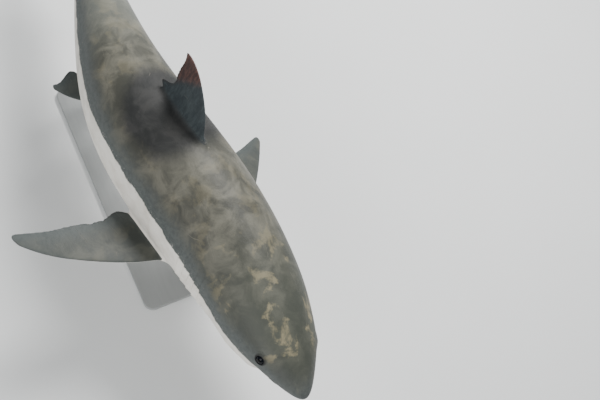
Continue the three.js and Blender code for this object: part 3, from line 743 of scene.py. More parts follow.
def cell_points(lines, shear, cells, value):
    """The mean of the points where the surface crosses each cell's edges."""
    total, count = np.zeros((len(cells), 3)), np.zeros(len(cells))
    for a in range(8):
        for axis in range(3):
            bit = 4 >> axis
            if a & bit:
                continue
            v0, v1 = value[:, a], value[:, a | bit]
            crossed = (v0 < 0) != (v1 < 0)
            t = np.where(crossed, v0 / np.where(crossed, v0 - v1, 1), 0)
            for other in range(3):
                offset = t if other == axis else float(bool(a & (4 >> other)))
                start = lines[other][cells[:, other]]
                width = lines[other][cells[:, other] + 1] - start
                total[:, other] += crossed * (start + width * offset)
            count += crossed
    points = total / count[:, None]
    points[cells[:, 1] == 0, 1] = 0
    points[:, 2] += shear(points[:, 0], points[:, 1])
    return points


def cell_quads(lines, cells, value, keys):
    """One quad for each lattice edge that the surface crosses."""
    stride = np.array([len(lines[1]) * len(lines[2]), len(lines[2]), 1])
    quads = []
    for axis in range(3):
        second, third = (axis + 1) % 3, (axis + 2) % 3
        v0, v1 = value[:, 0], value[:, 4 >> axis]
        crossed = np.flatnonzero(((v0 < 0) != (v1 < 0)) & (cells[:, second] > 0) & (cells[:, third] > 0))
        here = keys[crossed]
        ring = [here - stride[second] - stride[third], here - stride[third], here, here - stride[second]]
        found = [np.minimum(np.searchsorted(keys, key), len(keys) - 1) for key in ring]
        whole = np.all([keys[at] == key for at, key in zip(found, ring)], axis=0)
        quad = np.stack(found, axis=1)[whole]
        outward = v0[crossed][whole] < 0
        quad[~outward] = quad[~outward][:, ::-1]
        quads.append(quad)
    return np.concatenate(quads)


def settle(points, quads, rounds, reach):
    """Slides the points along the skin to even out the cells, then onto the skin itself."""
    middle = points[:, 1] == 0
    for turn in range(rounds):
        if turn:
            total, count = np.zeros_like(points), np.zeros(len(points))
            for a, b in EDGE_TURNS:
                for one, two in ((a, b), (b, a)):
                    for axis in range(3):
                        total[:, axis] += np.bincount(quads[:, one], points[quads[:, two], axis], len(points))
                    count += np.bincount(quads[:, one], minlength=len(points))
            mean = total / np.maximum(count, 1)[:, None]
            points = points + SLIDE * np.where(count[:, None] > 5, mean - points, 0)
        for _ in range(2):
            here, gradient = slope_of(points[:, 0], points[:, 1], points[:, 2])
            gradient[middle, 1] = 0
            move = here / np.maximum((gradient**2).sum(axis=1), LEAST_SLOPE)
            step = gradient * move[:, None]
            size = np.linalg.norm(step, axis=1)
            points = points - step * np.minimum(1, reach / np.maximum(size, 1e-9))[:, None]
        points[middle, 1] = 0
        points[~middle, 1] = np.maximum(points[~middle, 1], 1e-4)
    return points


NECK = 26.8  # where the fine lattice of the head meets the coarser one behind it
# Stations between which the lattice starts to follow a paired fin, and then leaves it again.
SHEARED = {"pectoral": ((NECK, 29.5), (43, 49)), "pelvic": ((49, 53), (64, 68))}


def paired_shear(x, y):
    """Lifts the lattice with the paired fins, so that their thin edges lie along its fine layers."""
    s = -x / PERCENT
    lift = 0
    for name, (start, end) in SHEARED.items():
        share = smooth_step(*start, s) * (1 - smooth_step(*end, s))
        lift = lift + share * FIN[name].middle_height(x, np.abs(y))
    return lift


def no_shear(x, y):
    """The level lattice of the head."""
    return np.zeros_like(x)


BODY_REACH = 0.34  # to the side, a little more than the body's half width
FIN_REACH = 0.99  # to the side, past the tips of the pectoral fins
HEAD_LEVELS, TRUNK_LEVELS = (-0.40, 0.38), (-0.53, 0.785)  # lowest and highest
FINE = 0.0011  # spacing at the middle plane and along the edges of the paired fins


def head_lines(cell):
    """The even lattice round the head, which ends exactly at the neck."""
    xs = -lattice_lines([(s * PERCENT, cell) for s in (-0.3, NECK)])[::-1]
    xs = xs - xs[0] - NECK * PERCENT
    ys = lattice_lines([(-cell / 2, cell), (BODY_REACH, cell)])
    return xs, ys, lattice_lines([(level, cell) for level in HEAD_LEVELS])


def trunk_lines(cell):
    """The lattice behind the neck, fine at the middle plane and at the paired fins' level."""
    stops = [(NECK, 0.75), (NECK + 2, 1.1), (70, 1.1), (80, 0.9), (100.4, 0.9)]
    xs = -lattice_lines([(s * PERCENT, cell * size) for s, size in stops])[::-1]
    ys = [(-FINE / 2, FINE), (0.006, FINE), (0.03, cell), (BODY_REACH, cell)]
    ys += [(0.4, cell * 1.3), (FIN_REACH, cell * 1.3)]
    level = FINS["pectoral"]["level"] * PERCENT
    zs = [(TRUNK_LEVELS[0], cell), (level - 0.03, cell), (level - 0.008, FINE * 1.2)]
    zs += [(level + 0.008, FINE * 1.2), (level + 0.03, cell), (TRUNK_LEVELS[1], cell)]
    return xs, lattice_lines(ys), lattice_lines(zs)


def boundary(quads, count):
    """The open edges of a mesh, each as (from, to) in its face's order."""
    pairs = np.concatenate([quads[:, [a, (a + 1) % 4]] for a in range(4)])
    forward = pairs[:, 0] * count + pairs[:, 1]
    backward = pairs[:, 1] * count + pairs[:, 0]
    return pairs[~np.isin(forward, backward)]


def rim_chain(points, quads, plane):
    """The open rim near a plane across the body, from the back round to the belly."""
    edges = boundary(quads, len(points))
    near = np.abs(points[edges].mean(axis=1)[:, 0] - plane) < 0.03
    inner = ~((points[edges[:, 0], 1] == 0) & (points[edges[:, 1], 1] == 0))
    follow = {}
    for a, b in edges[near & inner]:
        follow.setdefault(int(a), []).append(int(b))
        follow.setdefault(int(b), []).append(int(a))
    ends = [v for v in follow if points[v, 1] == 0]
    start = max(ends, key=lambda v: points[v, 2])
    chain, seen = [start], {start}
    while True:
        onward = [v for v in follow[chain[-1]] if v not in seen]
        if not onward:
            return chain
        chain.append(onward[0])
        seen.add(onward[0])


def zip_rims(points, front, rear):
    """Triangles that close the gap between two rims, both given from the back to the belly."""
    turn = [np.arctan2(points[rim, 1], points[rim, 2]) for rim in (front, rear)]
    faces, a, b = [], 0, 0
    while a < len(front) - 1 or b < len(rear) - 1:
        take_front = b == len(rear) - 1 or (a < len(front) - 1 and turn[0][a + 1] < turn[1][b + 1])
        if take_front:
            faces.append((front[a], front[a + 1], rear[b]))
            a += 1
        else:
            faces.append((front[a], rear[b + 1], rear[b]))
            b += 1
    return np.array(faces)


def half_skin(cell):
    """The left half of the straight shark's skin: points, quads and the few triangles at the neck."""
    head_grid, trunk_grid = head_lines(cell * 0.5), trunk_lines(cell)
    head_points, head_quads = contour(head_grid, no_shear)
    trunk_points, trunk_quads = contour(trunk_grid, paired_shear)
    head_points = settle(head_points, head_quads, 2, cell)
    trunk_points = settle(trunk_points, trunk_quads, 2, cell)
    points = np.concatenate([head_points, trunk_points])
    quads = np.concatenate([head_quads, trunk_quads + len(head_points)])
    front = rim_chain(head_points, head_quads, -NECK * PERCENT)
    rear = [v + len(head_points) for v in rim_chain(trunk_points, trunk_quads, -NECK * PERCENT)]
    return points, quads, zip_rims(points, front, rear)


# ---------------------------------------------------------------- the pose
SPINE_STEPS = 400
SPINE_STATIONS = np.linspace(0, 100, SPINE_STEPS + 1)
HEADING = natural_spline(*zip(*HEADINGS))


def spine_points():
    """The spine's middle line seen from above, from the snout back."""
    heading = np.radians(HEADING((SPINE_STATIONS[1:] + SPINE_STATIONS[:-1]) / 2))
    steps = np.column_stack([-np.cos(heading), -np.sin(heading)]) * TOTAL_LENGTH / SPINE_STEPS
    return np.vstack([[0, 0], np.cumsum(steps, axis=0)])


SPINE = spine_points()


def bend(points):
    """Bends straight points along the spine."""
    station = np.clip(-points[:, 0] / PERCENT, 0, 100)
    heading = np.radians(HEADING(station))
    x = np.interp(station, SPINE_STATIONS, SPINE[:, 0]) - np.sin(heading) * points[:, 1]
    y = np.interp(station, SPINE_STATIONS, SPINE[:, 1]) + np.cos(heading) * points[:, 1]
    ahead = np.maximum(points[:, 0], 0)
    return np.column_stack([x + ahead * np.cos(heading), y + ahead * np.sin(heading), points[:, 2]])


TURN = np.array(Matrix.Rotation(-BANK, 3, "X"))


def spine_feet():
    """The middle of the body over each rod, before the shark is moved over the stand."""
    x = np.array([-s * PERCENT for s in ROD_STATIONS])
    middle = section(x)[1][0]
    return bend(np.column_stack([x, np.zeros(2), middle])) @ TURN.T


FEET = spine_feet()
SHIFT = np.array([-FEET[:, 0].mean(), -FEET[:, 1].mean(), SPINE_HEIGHT])


def pose(points):
    """Straight points to the row frame: bent, banked and over the stand."""
    return bend(np.asarray(points, float).reshape(-1, 3)) @ TURN.T + SHIFT


# ---------------------------------------------------------------- meshes
def new_object(name, points, faces, extra=()):
    """A mesh object from arrays. faces and extra are arrays of quads, triangles or both."""
    mesh = bpy.data.meshes.new(name)
    groups = [np.asarray(g) for g in (faces, *extra) if len(g)]
    loops = np.concatenate([g.ravel() for g in groups])
    sizes = np.concatenate([np.full(len(g), g.shape[1]) for g in groups])
    mesh.vertices.add(len(points))
    mesh.vertices.foreach_set("co", np.asarray(points, np.float32).ravel())
    mesh.loops.add(len(loops))
    mesh.loops.foreach_set("vertex_index", loops.astype(np.int32))
    mesh.polygons.add(len(sizes))
    starts = np.concatenate([[0], np.cumsum(sizes)[:-1]])
    mesh.polygons.foreach_set("loop_start", starts.astype(np.int32))
    mesh.polygons.foreach_set("use_smooth", np.ones(len(sizes), bool))
    mesh.update(calc_edges=True)
    mesh.validate()
    thing = bpy.data.objects.new(name, mesh)
    bpy.context.collection.objects.link(thing)
    return thing


def ring_quads(rings, around):
    """Point numbers of stacked closed rings, the next point round for each, and the quads between rings."""
    ids = np.arange(rings * around).reshape(rings, around)
    onward = np.roll(ids, -1, axis=1)
    quads = np.stack([ids[:-1], ids[1:], onward[1:], onward[:-1]], axis=-1)
    return ids, onward, quads.reshape(-1, 4)


def store(thing, name, values, kind="FLOAT"):
    """Keeps a number or vector for each vertex, for the materials to read."""
    attribute = thing.data.attributes.new(name, kind, "POINT")
    key = "value" if kind == "FLOAT" else "vector"
    attribute.data.foreach_set(key, np.asarray(values, np.float32).ravel())


def adopt(thing, nodes, material):
    """Finishes a piece: gives it its material, parents it to what it moves with and hides the solids that it
    stands for.
    """
    thing.data.materials.clear()
    thing.data.materials.append(material)
    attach(thing, "root")
    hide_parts(*nodes)


def build_skin(settings):
    """Both halves of the skin as one mesh, with the numbers its finish reads."""
    points, quads, triangles = half_skin(settings.cell)
    count = len(points)
    mirror = np.arange(count)
    sided = points[:, 1] > 0
    mirror[sided] = count + np.arange(sided.sum())
    both = np.concatenate([points, points[sided] * (1, -1, 1)])
    thing = new_object(
        "skin",
        pose(both),
        np.concatenate([quads, mirror[quads][:, ::-1]]),
        [np.concatenate([triangles, mirror[triangles][:, ::-1]])],
    )
    store(thing, "straight", both, "FLOAT_VECTOR")
    for name, values in paint_values(points).items():
        store(thing, name, np.concatenate([values, values[sided]]))
    return thing


# ---------------------------------------------------------------- where the skin's colours lie
# The line between the dark back and the pale belly: station, level.
BORDER = [
    (0, -0.7),
    (3, -1.5),
    (5, -1.2),
    (7.1, -0.9),
    (10, -1.2),
    (15, -1.4),
    (19, -0.7),
    (26, 0.2),
    (35, 0.5),
    (45, 0.2),
    (55, 0.1),
    (65, 0.3),
    (74, 0.3),
    (79, -0.4),
    (84, -1.0),
    (90, -1.1),
    (100, -1.1),
]


# Painted shadow of the first dorsal fin, which darkens the back round the fin's foot.
PAINTED_SHADOW = {"strength": 0.85, "station": (44.5, 7.5), "level": (9.5, 4.8)}  # middle and reach
RUST = (1.05, 1.62)  # start and full, in shares of the fin's span up and back
INSIDE_MOUTH = {"station": (4.5, 14.6), "level": (-7.5, -2.2)}
FULL_HEIGHT = 0.3  # above the border, where the colour is wholly the back's


def paint_values(points):
    """For each point, numbers from which the skin's material mixes its colours."""
    x, y, z = points.T
    s = -x / PERCENT
    body = body_distance(x, y, z)
    above = z - np.interp(s, *zip(*BORDER)) * PERCENT
    on_fin = smooth_step(0.0, 0.035, body)
    # Painted shadow round the first dorsal fin's foot; the fin itself joins this mask below.
    offsets = [at - PAINTED_SHADOW[name][0] for at, name in ((s, "station"), (z / PERCENT, "level"))]
    painted_shadow_and_fin = PAINTED_SHADOW["strength"] * bell((offsets[0], PAINTED_SHADOW["station"][1]), (offsets[1], PAINTED_SHADOW["level"][1]))
    rust, inky, rim = (np.zeros_like(x) for _ in range(3))
    for name, fin in FIN.items():
        inside = fin.reach(x, y, z)
        back, out, off = (value[inside] for value in fin.local(x, y, z))
        weight = on_fin[inside] * smooth_step(-0.015, 0.025, out)
        share = out / fin.span
        edge = -fin.edge_distance(back, out)
        if fin.paired:
            side = np.clip(off * 22, -0.16, FULL_HEIGHT)
            under_tip = smooth_step(0.62, 0.8, share) * (off < 0)
            inky[inside] += under_tip * weight * (1 if name == "pectoral" else 0.6)
        else:
            side = {"anal": -0.06, "caudal_lower": 0.09}.get(name, FULL_HEIGHT)
        above[inside] = above[inside] * (1 - weight) + side * weight
        lead = np.interp(out, fin.heights, fin.lead)
        rearward = smooth_step(0.25, 0.6, (back - lead) / (fin.span + 0.1))
        trailing = (1 - smooth_step(0.004, 0.022, edge)) * rearward
        rim[inside] = np.maximum(rim[inside], trailing * weight)
        # The first dorsal fin takes its own darker colour, made darker partly as painted shade of its shaded
        # face.
        if name == "dorsal_first":
            painted_shadow_and_fin[inside] = np.maximum(painted_shadow_and_fin[inside], smooth_step(-0.02, 0.10, share))
            rust[inside] = weight * smooth_step(*RUST, share + back / fin.span)
    depth = muscle(x, y, z) - body
    lining = smooth_step(0.003, 0.011, depth) * (s < 30)
    mouth = np.ones(len(x), bool)
    for at, name in ((s, "station"), (z / PERCENT, "level")):
        mouth &= (at > INSIDE_MOUTH[name][0]) & (at < INSIDE_MOUTH[name][1])
    away = np.sqrt(((points - EYE_CENTRE) ** 2).sum(axis=1)) - EYE["radius"]
    eyelid = 1 - smooth_step(0.005, 0.013, away)
    return {
        "above": above,
        "painted_shadow_and_fin": painted_shadow_and_fin,
        "rust": rust,
        "inky": inky,
        "rim": rim,
        "lining": lining,
        "mouth": mouth.astype(float),
        "eyelid": eyelid,
        "fin": on_fin,
    }


# ---------------------------------------------------------------- teeth
TEETH = {
    "rooted": 0.24,  # share of each tooth that is sunk into its jaw
    "first_gap": 0.42,  # from the middle of the jaw to the first tooth, in shares of the spacing
    "last_gap": 0.6,  # from the last tooth to the corner, likewise
    "shrink": 0.55,  # how much smaller the teeth are at the corner
    "shrink_power": 1.6,
    "serrations": 15,  # along each edge of a tooth
    "upper": {
        "per_side": 12,
        "width": 0.026,
        "height": 0.034,
        "thickness": 0.008,
        "inset": 0.011,
        "tilt": 0.10,
        "seed": 5,
        "down": True,
    },
    "lower": {
        "per_side": 11,
        "width": 0.018,
        "height": 0.028,
        "thickness": 0.007,
        "inset": 0.023,
        "tilt": 0.02,
        "seed": 8,
        "down": False,
    },
}


def lip_points(name):
    """Places along one side of a jaw for its teeth, with the way the jaw runs at each."""
    row = TEETH[name]
    stations = np.arange(MOUTH["front"], MOUTH["corner"], 0.04)
    line = []
    for station in stations:
        z = lip_height(station, name)
        sides = section(np.array([-station * PERCENT]))[1]
        y = skin_half_width(station, z) - row["inset"]
        if sides[0][0] - sides[2][0] < z - 0.001 and y > 0:
            line.append((-station * PERCENT, y, z))
    line = np.array(line)
    line[0, 1] = 0
    length = np.concatenate([[0], np.cumsum(np.linalg.norm(np.diff(line, axis=0), axis=1))])
    count = row["per_side"]
    at = (np.arange(count) + TEETH["first_gap"]) / (count + TEETH["last_gap"]) * length[-1]
    here, before, after = (
        np.column_stack([np.interp(at + shift, length, line[:, axis]) for axis in range(3)])
        for shift in (0, -0.006, 0.006)
    )
    return here, after - before


def tooth_blade(width, height, thickness, lean):
    """One serrated triangular blade, root down: points (along, outward, up) and quads."""
    rows, columns = ((34, 8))
    v = np.linspace(-TEETH["rooted"], 1 - TEETH["rooted"], rows)
    up = v + TEETH["rooted"]
    half = width / 2 * np.where(v < 0, 1.0, (1 - up) / (1 - TEETH["rooted"])) ** 0.92 + 0.0003
    half = half * (1 + 0.05 * np.abs(np.sin(up * math.pi * TEETH["serrations"])) * (v > 0.02))
    shift = lean * np.maximum(v, 0) ** 1.4 * height
    across = np.linspace(-1, 1, columns + 1)
    thick = thickness / 2 * (1 - 0.72 * up)[:, None] * (1 - across**2)[None, :] ** 0.8 + 0.0002
    along = half[:, None] * across[None, :] + shift[:, None]
    high = np.repeat((v * height)[:, None], columns + 1, axis=1)
    front = np.stack([along, thick * 0.7, high], axis=-1)
    rear = np.stack([along, -thick, high], axis=-1)
    ring = np.concatenate([front, rear[:, ::-1]], axis=1)
    ids, _, quads = ring_quads(rows, ring.shape[1])
    side = np.arange(columns)
    caps = [
        np.stack([end[side], end[side + 1], end[-2 - side], end[-1 - side]], axis=-1)
        for end in (ids[0], ids[-1][::-1])
    ]
    return ring.reshape(-1, 3), np.concatenate([quads, *caps])


def build_teeth(name):
    """One row of teeth on both sides of a jaw, each a little different from the next."""
    row = TEETH[name]
    places, ways = lip_points(name)
    sign = -1 if row["down"] else 1
    random = np.random.default_rng(row["seed"])
    points, faces, total = [], [], 0
    for i, (place, way) in enumerate(zip(places, ways)):
        size = 1 - TEETH["shrink"] * (i / row["per_side"]) ** TEETH["shrink_power"]
        station = -place[0] / PERCENT
        gap = lip_height(station, "upper") - lip_height(station, "lower")
        for side in (1, -1):
            grown = size * random.uniform(0.93, 1.05)
            tall = min(row["height"] * grown, (gap + 0.004) / (1 - TEETH["rooted"]))
            blade, quads = tooth_blade(row["width"] * grown, tall, row["thickness"], 0.10 + 0.02 * i)
            along = way / np.linalg.norm(way) * (1, side, 1)
            outward = np.cross(along, (0, 0, 1)) * side * -1
            outward /= np.linalg.norm(outward)
            tilt = random.normal(0, 0.035) + row["tilt"]
            up = np.array([0, 0, sign]) - outward * tilt
            lying = blade[:, :1] * along + blade[:, 1:2] * outward + blade[:, 2:] * up
            points.append(pose(lying + place * (1, side, 1)))
            flipped = quads if sign * side > 0 else quads[:, ::-1]
            faces.append(flipped + total)
            total += len(blade)
    return new_object(name + "_teeth", np.concatenate(points), np.concatenate(faces))


# ---------------------------------------------------------------- eyes
def build_eye(side):
    """An eyeball with a slightly proud cornea, its pole looking out of the head."""
    rings, turns = ((72, 96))
    angle = np.linspace(0, math.pi, rings + 1)[1:-1, None]
    turn = np.linspace(0, 2 * math.pi, turns, endpoint=False)[None, :]
    radius = EYE["radius"] + 0.0013 * (1 - smooth_step(0.3, 0.75, angle))
    outward = EYE_OUTWARD * (1, side, 1)
    across = np.cross(outward, (0, 0, 1))
    across /= np.linalg.norm(across)
    upward = np.cross(across, outward)
    wide = radius * np.sin(angle)
    local = [radius * np.cos(angle) + 0 * turn, wide * np.cos(turn), wide * np.sin(turn)]
    points = sum(part[..., None] * axis for part, axis in zip(local, (outward, across, upward)))
    points = points.reshape(-1, 3)
    poles = np.array([radius[0, 0], -radius[-1, 0]])[:, None] * outward
    points = np.concatenate([points, poles]) + EYE_CENTRE * (1, side, 1)
    ids, onward, quads = ring_quads(rings - 1, turns)
    first = np.stack([np.full(turns, len(points) - 2), ids[0], onward[0]], axis=-1)
    last = np.stack([np.full(turns, len(points) - 1), onward[-1], ids[-1]], axis=-1)
    name = "eye_left_ball" if side > 0 else "eye_right_ball"
    thing = new_object(name, pose(points), quads, [np.concatenate([first, last])])
    off_axis = np.concatenate([(wide + 0 * turn).ravel(), [0, 0]])
    front = np.concatenate([(np.cos(angle) + 0 * turn).ravel(), [1, -1]])
    store(thing, "off_axis", np.where(front > 0, off_axis, 0.06))
    spokes = np.concatenate([(0 * angle + turn).ravel(), [0, 0]])
    store(thing, "spoke", np.column_stack([np.cos(spokes), np.sin(spokes), off_axis * 20]), "FLOAT_VECTOR")
    return thing


# ---------------------------------------------------------------- materials
def linear(*levels):
    """A colour from its 0 to 255 screen levels."""
    return tuple(((v / 255 + 0.055) / 1.055) ** 2.4 if v > 10 else v / 3295 for v in levels) + (1.0,)


# Screen levels of the colours that aren't settings: one, or the two ends of a mottling.
LEVELS = {
    "flank": [(72, 76, 75), (86, 90, 88)],
    "head": [(64, 68, 61)],
    # Painted light: the paler colour of the rear back.
    "rear": [(122, 125, 118)],
    "fins": [(58, 64, 63)],
    "specks": [(66, 63, 59)],
    # Painted shadow of the first dorsal fin on the back.
    "painted_shadow": [(33, 34, 34), (46, 46, 46)],
    # The first dorsal fin's own dark grey-green, darkened partly as painted shade.
    "dorsal fin": [(46, 52, 55), (62, 69, 71)],
    "dorsal tip shade": [(52, 42, 41)],
    "belly shade": [(206, 200, 189)],
    "undertips": [(34, 34, 36)],
    "fin rims": [(46, 44, 43)],
    "scratches": [(136, 130, 119)],
    "pores": [(44, 38, 36)],
    "gill lining": [(58, 30, 28)],
    "gums": [(178, 120, 112), (205, 160, 150)],
    "eyelids": [(19, 19, 21)],
    "iris": [(6, 8, 12), (14, 19, 27)],
    "pupil": [(3, 3, 4)],
    "eye edge": [(8, 9, 11)],
    "teeth": [(232, 226, 208), (246, 242, 230)],
    "board shade": [(138, 140, 139)],
    "metal": [(176, 178, 180), (206, 207, 208)],
    "rubber": [(32, 32, 33), (52, 52, 52)],
    "floor": [(214, 215, 214), (220, 221, 220)],
}


def tones(name):
    """The colours of one entry, ready for a node."""
    return [linear(*levels) for levels in LEVELS[name]]


# Where along the straight body a change of colour starts and is complete, in metres; the one at the rear
# brings in painted light, a paler back.
HEAD_FADE, PAINTED_LIGHT_FADE, SNOUT_FADE = (-1.15, -0.35), (-3.0, -2.15), (-0.34, -0.20)


class Value:
    """A socket in a Python expression, which adds the Math nodes that the expression needs."""

    def __init__(self, maker, socket):
        self.maker, self.socket = maker, socket

    def _math(self, operation, *terms):
        return self.maker.add("ShaderNodeMath", {"operation": operation}, dict(enumerate(terms)))

    def __add__(self, other):
        return self._math("ADD", self, other)

    def __sub__(self, other):
        return self._math("SUBTRACT", self, other)

    def __rsub__(self, other):
        return self._math("SUBTRACT", other, self)

    def __mul__(self, other):
        return self._math("MULTIPLY", self, other)

    __radd__, __rmul__ = __add__, __mul__

    def size(self):
        return self._math("ABSOLUTE", self)

    def step(self, low, high):
        """0 below low, 1 above high, and smooth between."""
        settings = {"interpolation_type": "SMOOTHSTEP"}
        inputs = {"Value": self, "From Min": low, "From Max": high}
        return self.maker.add("ShaderNodeMapRange", settings, inputs)


class Finish:
    """A material and the one method that adds any node to it."""

    def __init__(self, name, **constants):
        self.material = bpy.data.materials.new(name)
        self.material.use_nodes = True
        self.tree = self.material.node_tree
        self.shader = self.tree.nodes["Principled BSDF"]
        for socket, value in constants.items():
            self.shader.inputs[socket.replace("_", " ")].default_value = value

    def add(self, kind, settings=None, inputs=None, output=0):
        """Adds a node, and gives back one of its outputs."""
        node = self.tree.nodes.new(kind)
        for name, value in (settings or {}).items():
            setattr(node, name, value)
        for name, value in (inputs or {}).items():
            self.feed(node.inputs[name], value)
        return Value(self, node.outputs[output])

    def feed(self, socket, value):
        """Links a value to a socket, or sets the socket to a plain number or colour."""
        if isinstance(value, Value):
            self.tree.links.new(value.socket, socket)
        else:
            socket.default_value = value

    def attribute(self, name, output="Fac"):
        return self.add("ShaderNodeAttribute", {"attribute_name": name}, output=output)

    def noise(self, vector, scale, detail=4, roughness=0.55, distortion=0.0):
        inputs = {"Vector": vector, "Scale": scale, "Detail": detail}
        inputs |= {"Roughness": roughness, "Distortion": distortion}
        return self.add("ShaderNodeTexNoise", inputs=inputs)

    def cells(self, vector, scale, randomness):
        inputs = {"Vector": vector, "Scale": scale, "Randomness": randomness}
        return self.add("ShaderNodeTexVoronoi", inputs=inputs)

    def axis(self, vector, axis):
        return self.add("ShaderNodeSeparateXYZ", inputs={0: vector}, output=axis)

    def mix(self, factor, first, second):
        return self.add("ShaderNodeMix", {"data_type": "RGBA"}, {0: factor, 6: first, 7: second}, 2)

    def stretch(self, vector, scale, turn=(0, 0, 0), shift=(0, 0, 0)):
        inputs = {"Vector": vector, "Scale": scale, "Rotation": turn, "Location": shift}
        return self.add("ShaderNodeMapping", inputs=inputs)

    def place(self):
        """Where the surface is in the frame."""
        return self.add("ShaderNodeNewGeometry", output="Position")

    def bump(self, height, distance, strength=1.0, normal=None):
        inputs = {"Height": height, "Distance": distance, "Strength": strength}
        if normal is not None:
            inputs["Normal"] = normal
        return self.add("ShaderNodeBump", inputs=inputs)

    def surface(self, **links):
        """Feeds the shader's sockets and gives back the finished material."""
        for socket, value in links.items():
            self.feed(self.shader.inputs[socket.replace("_", " ")], value)
        return self.material


def back_tone(f, place, settings, blotch, fine):
    """The dark upper side: mottled back, plain flank, painted light on the rear back, dark fins and yellowish
    head patches.
    """
    height = f.attribute("above") + 0.05 * (f.noise(place, 2.6, 3) - 0.5)
    saddle = (height + 0.07 * (blotch - 0.5)).step(0.04, 0.19)
    back = f.mix(blotch.step(0.34, 0.70), tuple(settings.back_dark), tuple(settings.back))
    flank = f.mix(fine.step(0.3, 0.7), *tones("flank"))
    tone = f.mix(saddle, flank, back)
    head = f.axis(place, 0).step(*HEAD_FADE)
    tone = f.mix(head * saddle * 0.60, tone, *tones("head"))
    # Painted light: the rear back is made paler, where light would fall on it.
    rear = 1 - f.axis(place, 0).step(*PAINTED_LIGHT_FADE)
    tone = f.mix(rear * saddle * 0.65, tone, *tones("rear"))
    warm = f.noise(place, 6.5, 6, 0.62, 0.35).step(0.52, 0.62) * (0.12 + 0.50 * head)
    tone = f.mix(warm * saddle, tone, tuple(settings.patches))
    tone = f.mix(f.attribute("fin") * 0.5, tone, *tones("fins"))
    return f.mix(fine.step(0.56, 0.74) * 0.30, tone, *tones("specks"))


def dorsal_tone(f, place, settings, tone, blotch, fine):
    """Painted shadow of the first dorsal fin on the back round its foot, the fin's own dark grey-green
    darkened partly as painted shade, and its rusty tip.
    """
    # Mask of the painted shadow round the fin's foot, and of the fin itself.
    painted_shadow_and_fin = (f.attribute("painted_shadow_and_fin") + 0.30 * (blotch - 0.5) + 0.12 * (fine - 0.5)).step(0.14, 0.46)
    painted_shadow = f.mix(blotch.step(0.35, 0.65), *tones("painted_shadow"))
    streaks = f.noise(f.stretch(place, (16, 16, 5), (0, 0.7, 0)), 3.0, 6, 0.7)
    fin = f.mix(streaks.step(0.35, 0.7), *tones("dorsal fin"))
    # Painted shadow beside the fin, and the fin's own colour on the fin.
    tone = f.mix(painted_shadow_and_fin * 0.95, tone, f.mix(f.attribute("fin"), painted_shadow, fin))
    tip = f.mix(streaks.step(0.34, 0.70), *tones("dorsal tip shade"), tuple(settings.dorsal_tip))
    rust = f.attribute("rust") + 0.40 * (fine - 0.5) + 0.30 * (streaks - 0.5)
    return f.mix(rust.step(0.2, 0.9), tone, tip)


def countershade(f, place, settings, tone):
    """The pale belly below a ragged line, with flecks of each colour across it."""
    belly = f.mix(f.noise(place, 11, 5).step(0.35, 0.75), tuple(settings.belly), *tones("belly shade"))
    wander = 0.060 * (f.noise(place, 4.2, 2) - 0.5) + 0.042 * (f.noise(place, 19, 6, 0.7) - 0.5)
    ragged = f.attribute("above") + wander
    dark = ragged.step(-0.003, 0.006)
    near = 1 - ragged.size().step(0.008, 0.045)
    flecks = f.noise(place, 140, 3, 0.6).step(0.64, 0.68) * near * 0.7
    return f.mix(dark + flecks - 2 * dark * flecks, belly, tone)


def scratches(f, place):
    """Sparse thin curved lines, 1 on a line and 0 beside it."""
    lines = 0
    for shift, scale, turn in ((0, (1.6, 9, 9), (0, 0.4, 0.5)), (7, (2.6, 15, 15), (0, -0.4, -0.6))):
        moved = f.stretch(place, scale, turn, (shift, 0, 0))
        line = 1 - (f.noise(moved, 1, 0) - 0.5).size().step(0.0012, 0.0055)
        lines = line * f.noise(moved, 0.9, 1).step(0.61, 0.65) + lines
    return lines


def skin_finish(settings):
    """Matt hide with its markings, scratches and pores, and the linings of mouth and gills."""
    f = Finish("shark_skin", Specular_IOR_Level=0.20)
    place = f.attribute("straight", "Vector")
    blotch, fine = f.noise(place, 7.5, 6, 0.6, 0.6), f.noise(place, 42, 5, 0.65)
    tone = back_tone(f, place, settings, blotch, fine)
    tone = dorsal_tone(f, place, settings, tone, blotch, fine)
    colour = countershade(f, place, settings, tone)

    inky = (f.attribute("inky") + 0.5 * (f.noise(place, 22, 4) - 0.5)).step(0.3, 0.62)
    colour = f.mix(inky * 0.93, colour, *tones("undertips"))
    colour = f.mix(f.attribute("rim") * 0.5, colour, *tones("fin rims"))
    scratched = scratches(f, place)
    colour = f.mix(scratched * 0.30, colour, *tones("scratches"))
    pores = (1 - f.cells(place, 84, 0.8).step(0.07, 0.15)) * f.axis(place, 0).step(*SNOUT_FADE)
    colour = f.mix(pores * 0.6, colour, *tones("pores"))

    lining = f.attribute("lining")
    gum = f.mix(fine.step(0.3, 0.7), *tones("gums"))
    colour = f.mix(lining, colour, f.mix(f.attribute("mouth"), *tones("gill lining"), gum))
    eyelid = f.attribute("eyelid")
    colour = f.mix(eyelid * 0.94, colour, *tones("eyelids"))

    relief = f.bump(f.noise(place, 420, 3, 0.6), 0.0007, 0.55)
    relief = f.bump(fine, 0.0035, 0.35, relief)
    relief = f.bump(f.noise(place, 11, 4, 0.5), 0.010, 0.28, relief)
    relief = f.bump(1 - scratched - pores * 0.8, 0.0014, 0.6, relief)
    rough = 0.50 + 0.16 * (blotch - 0.5) + 0.10 * (fine - 0.5) - 0.16 * lining + 0.25 * eyelid
    rough = rough + 0.22 * f.attribute("painted_shadow_and_fin")
    return f.surface(Base_Color=colour, Roughness=rough, Normal=relief)


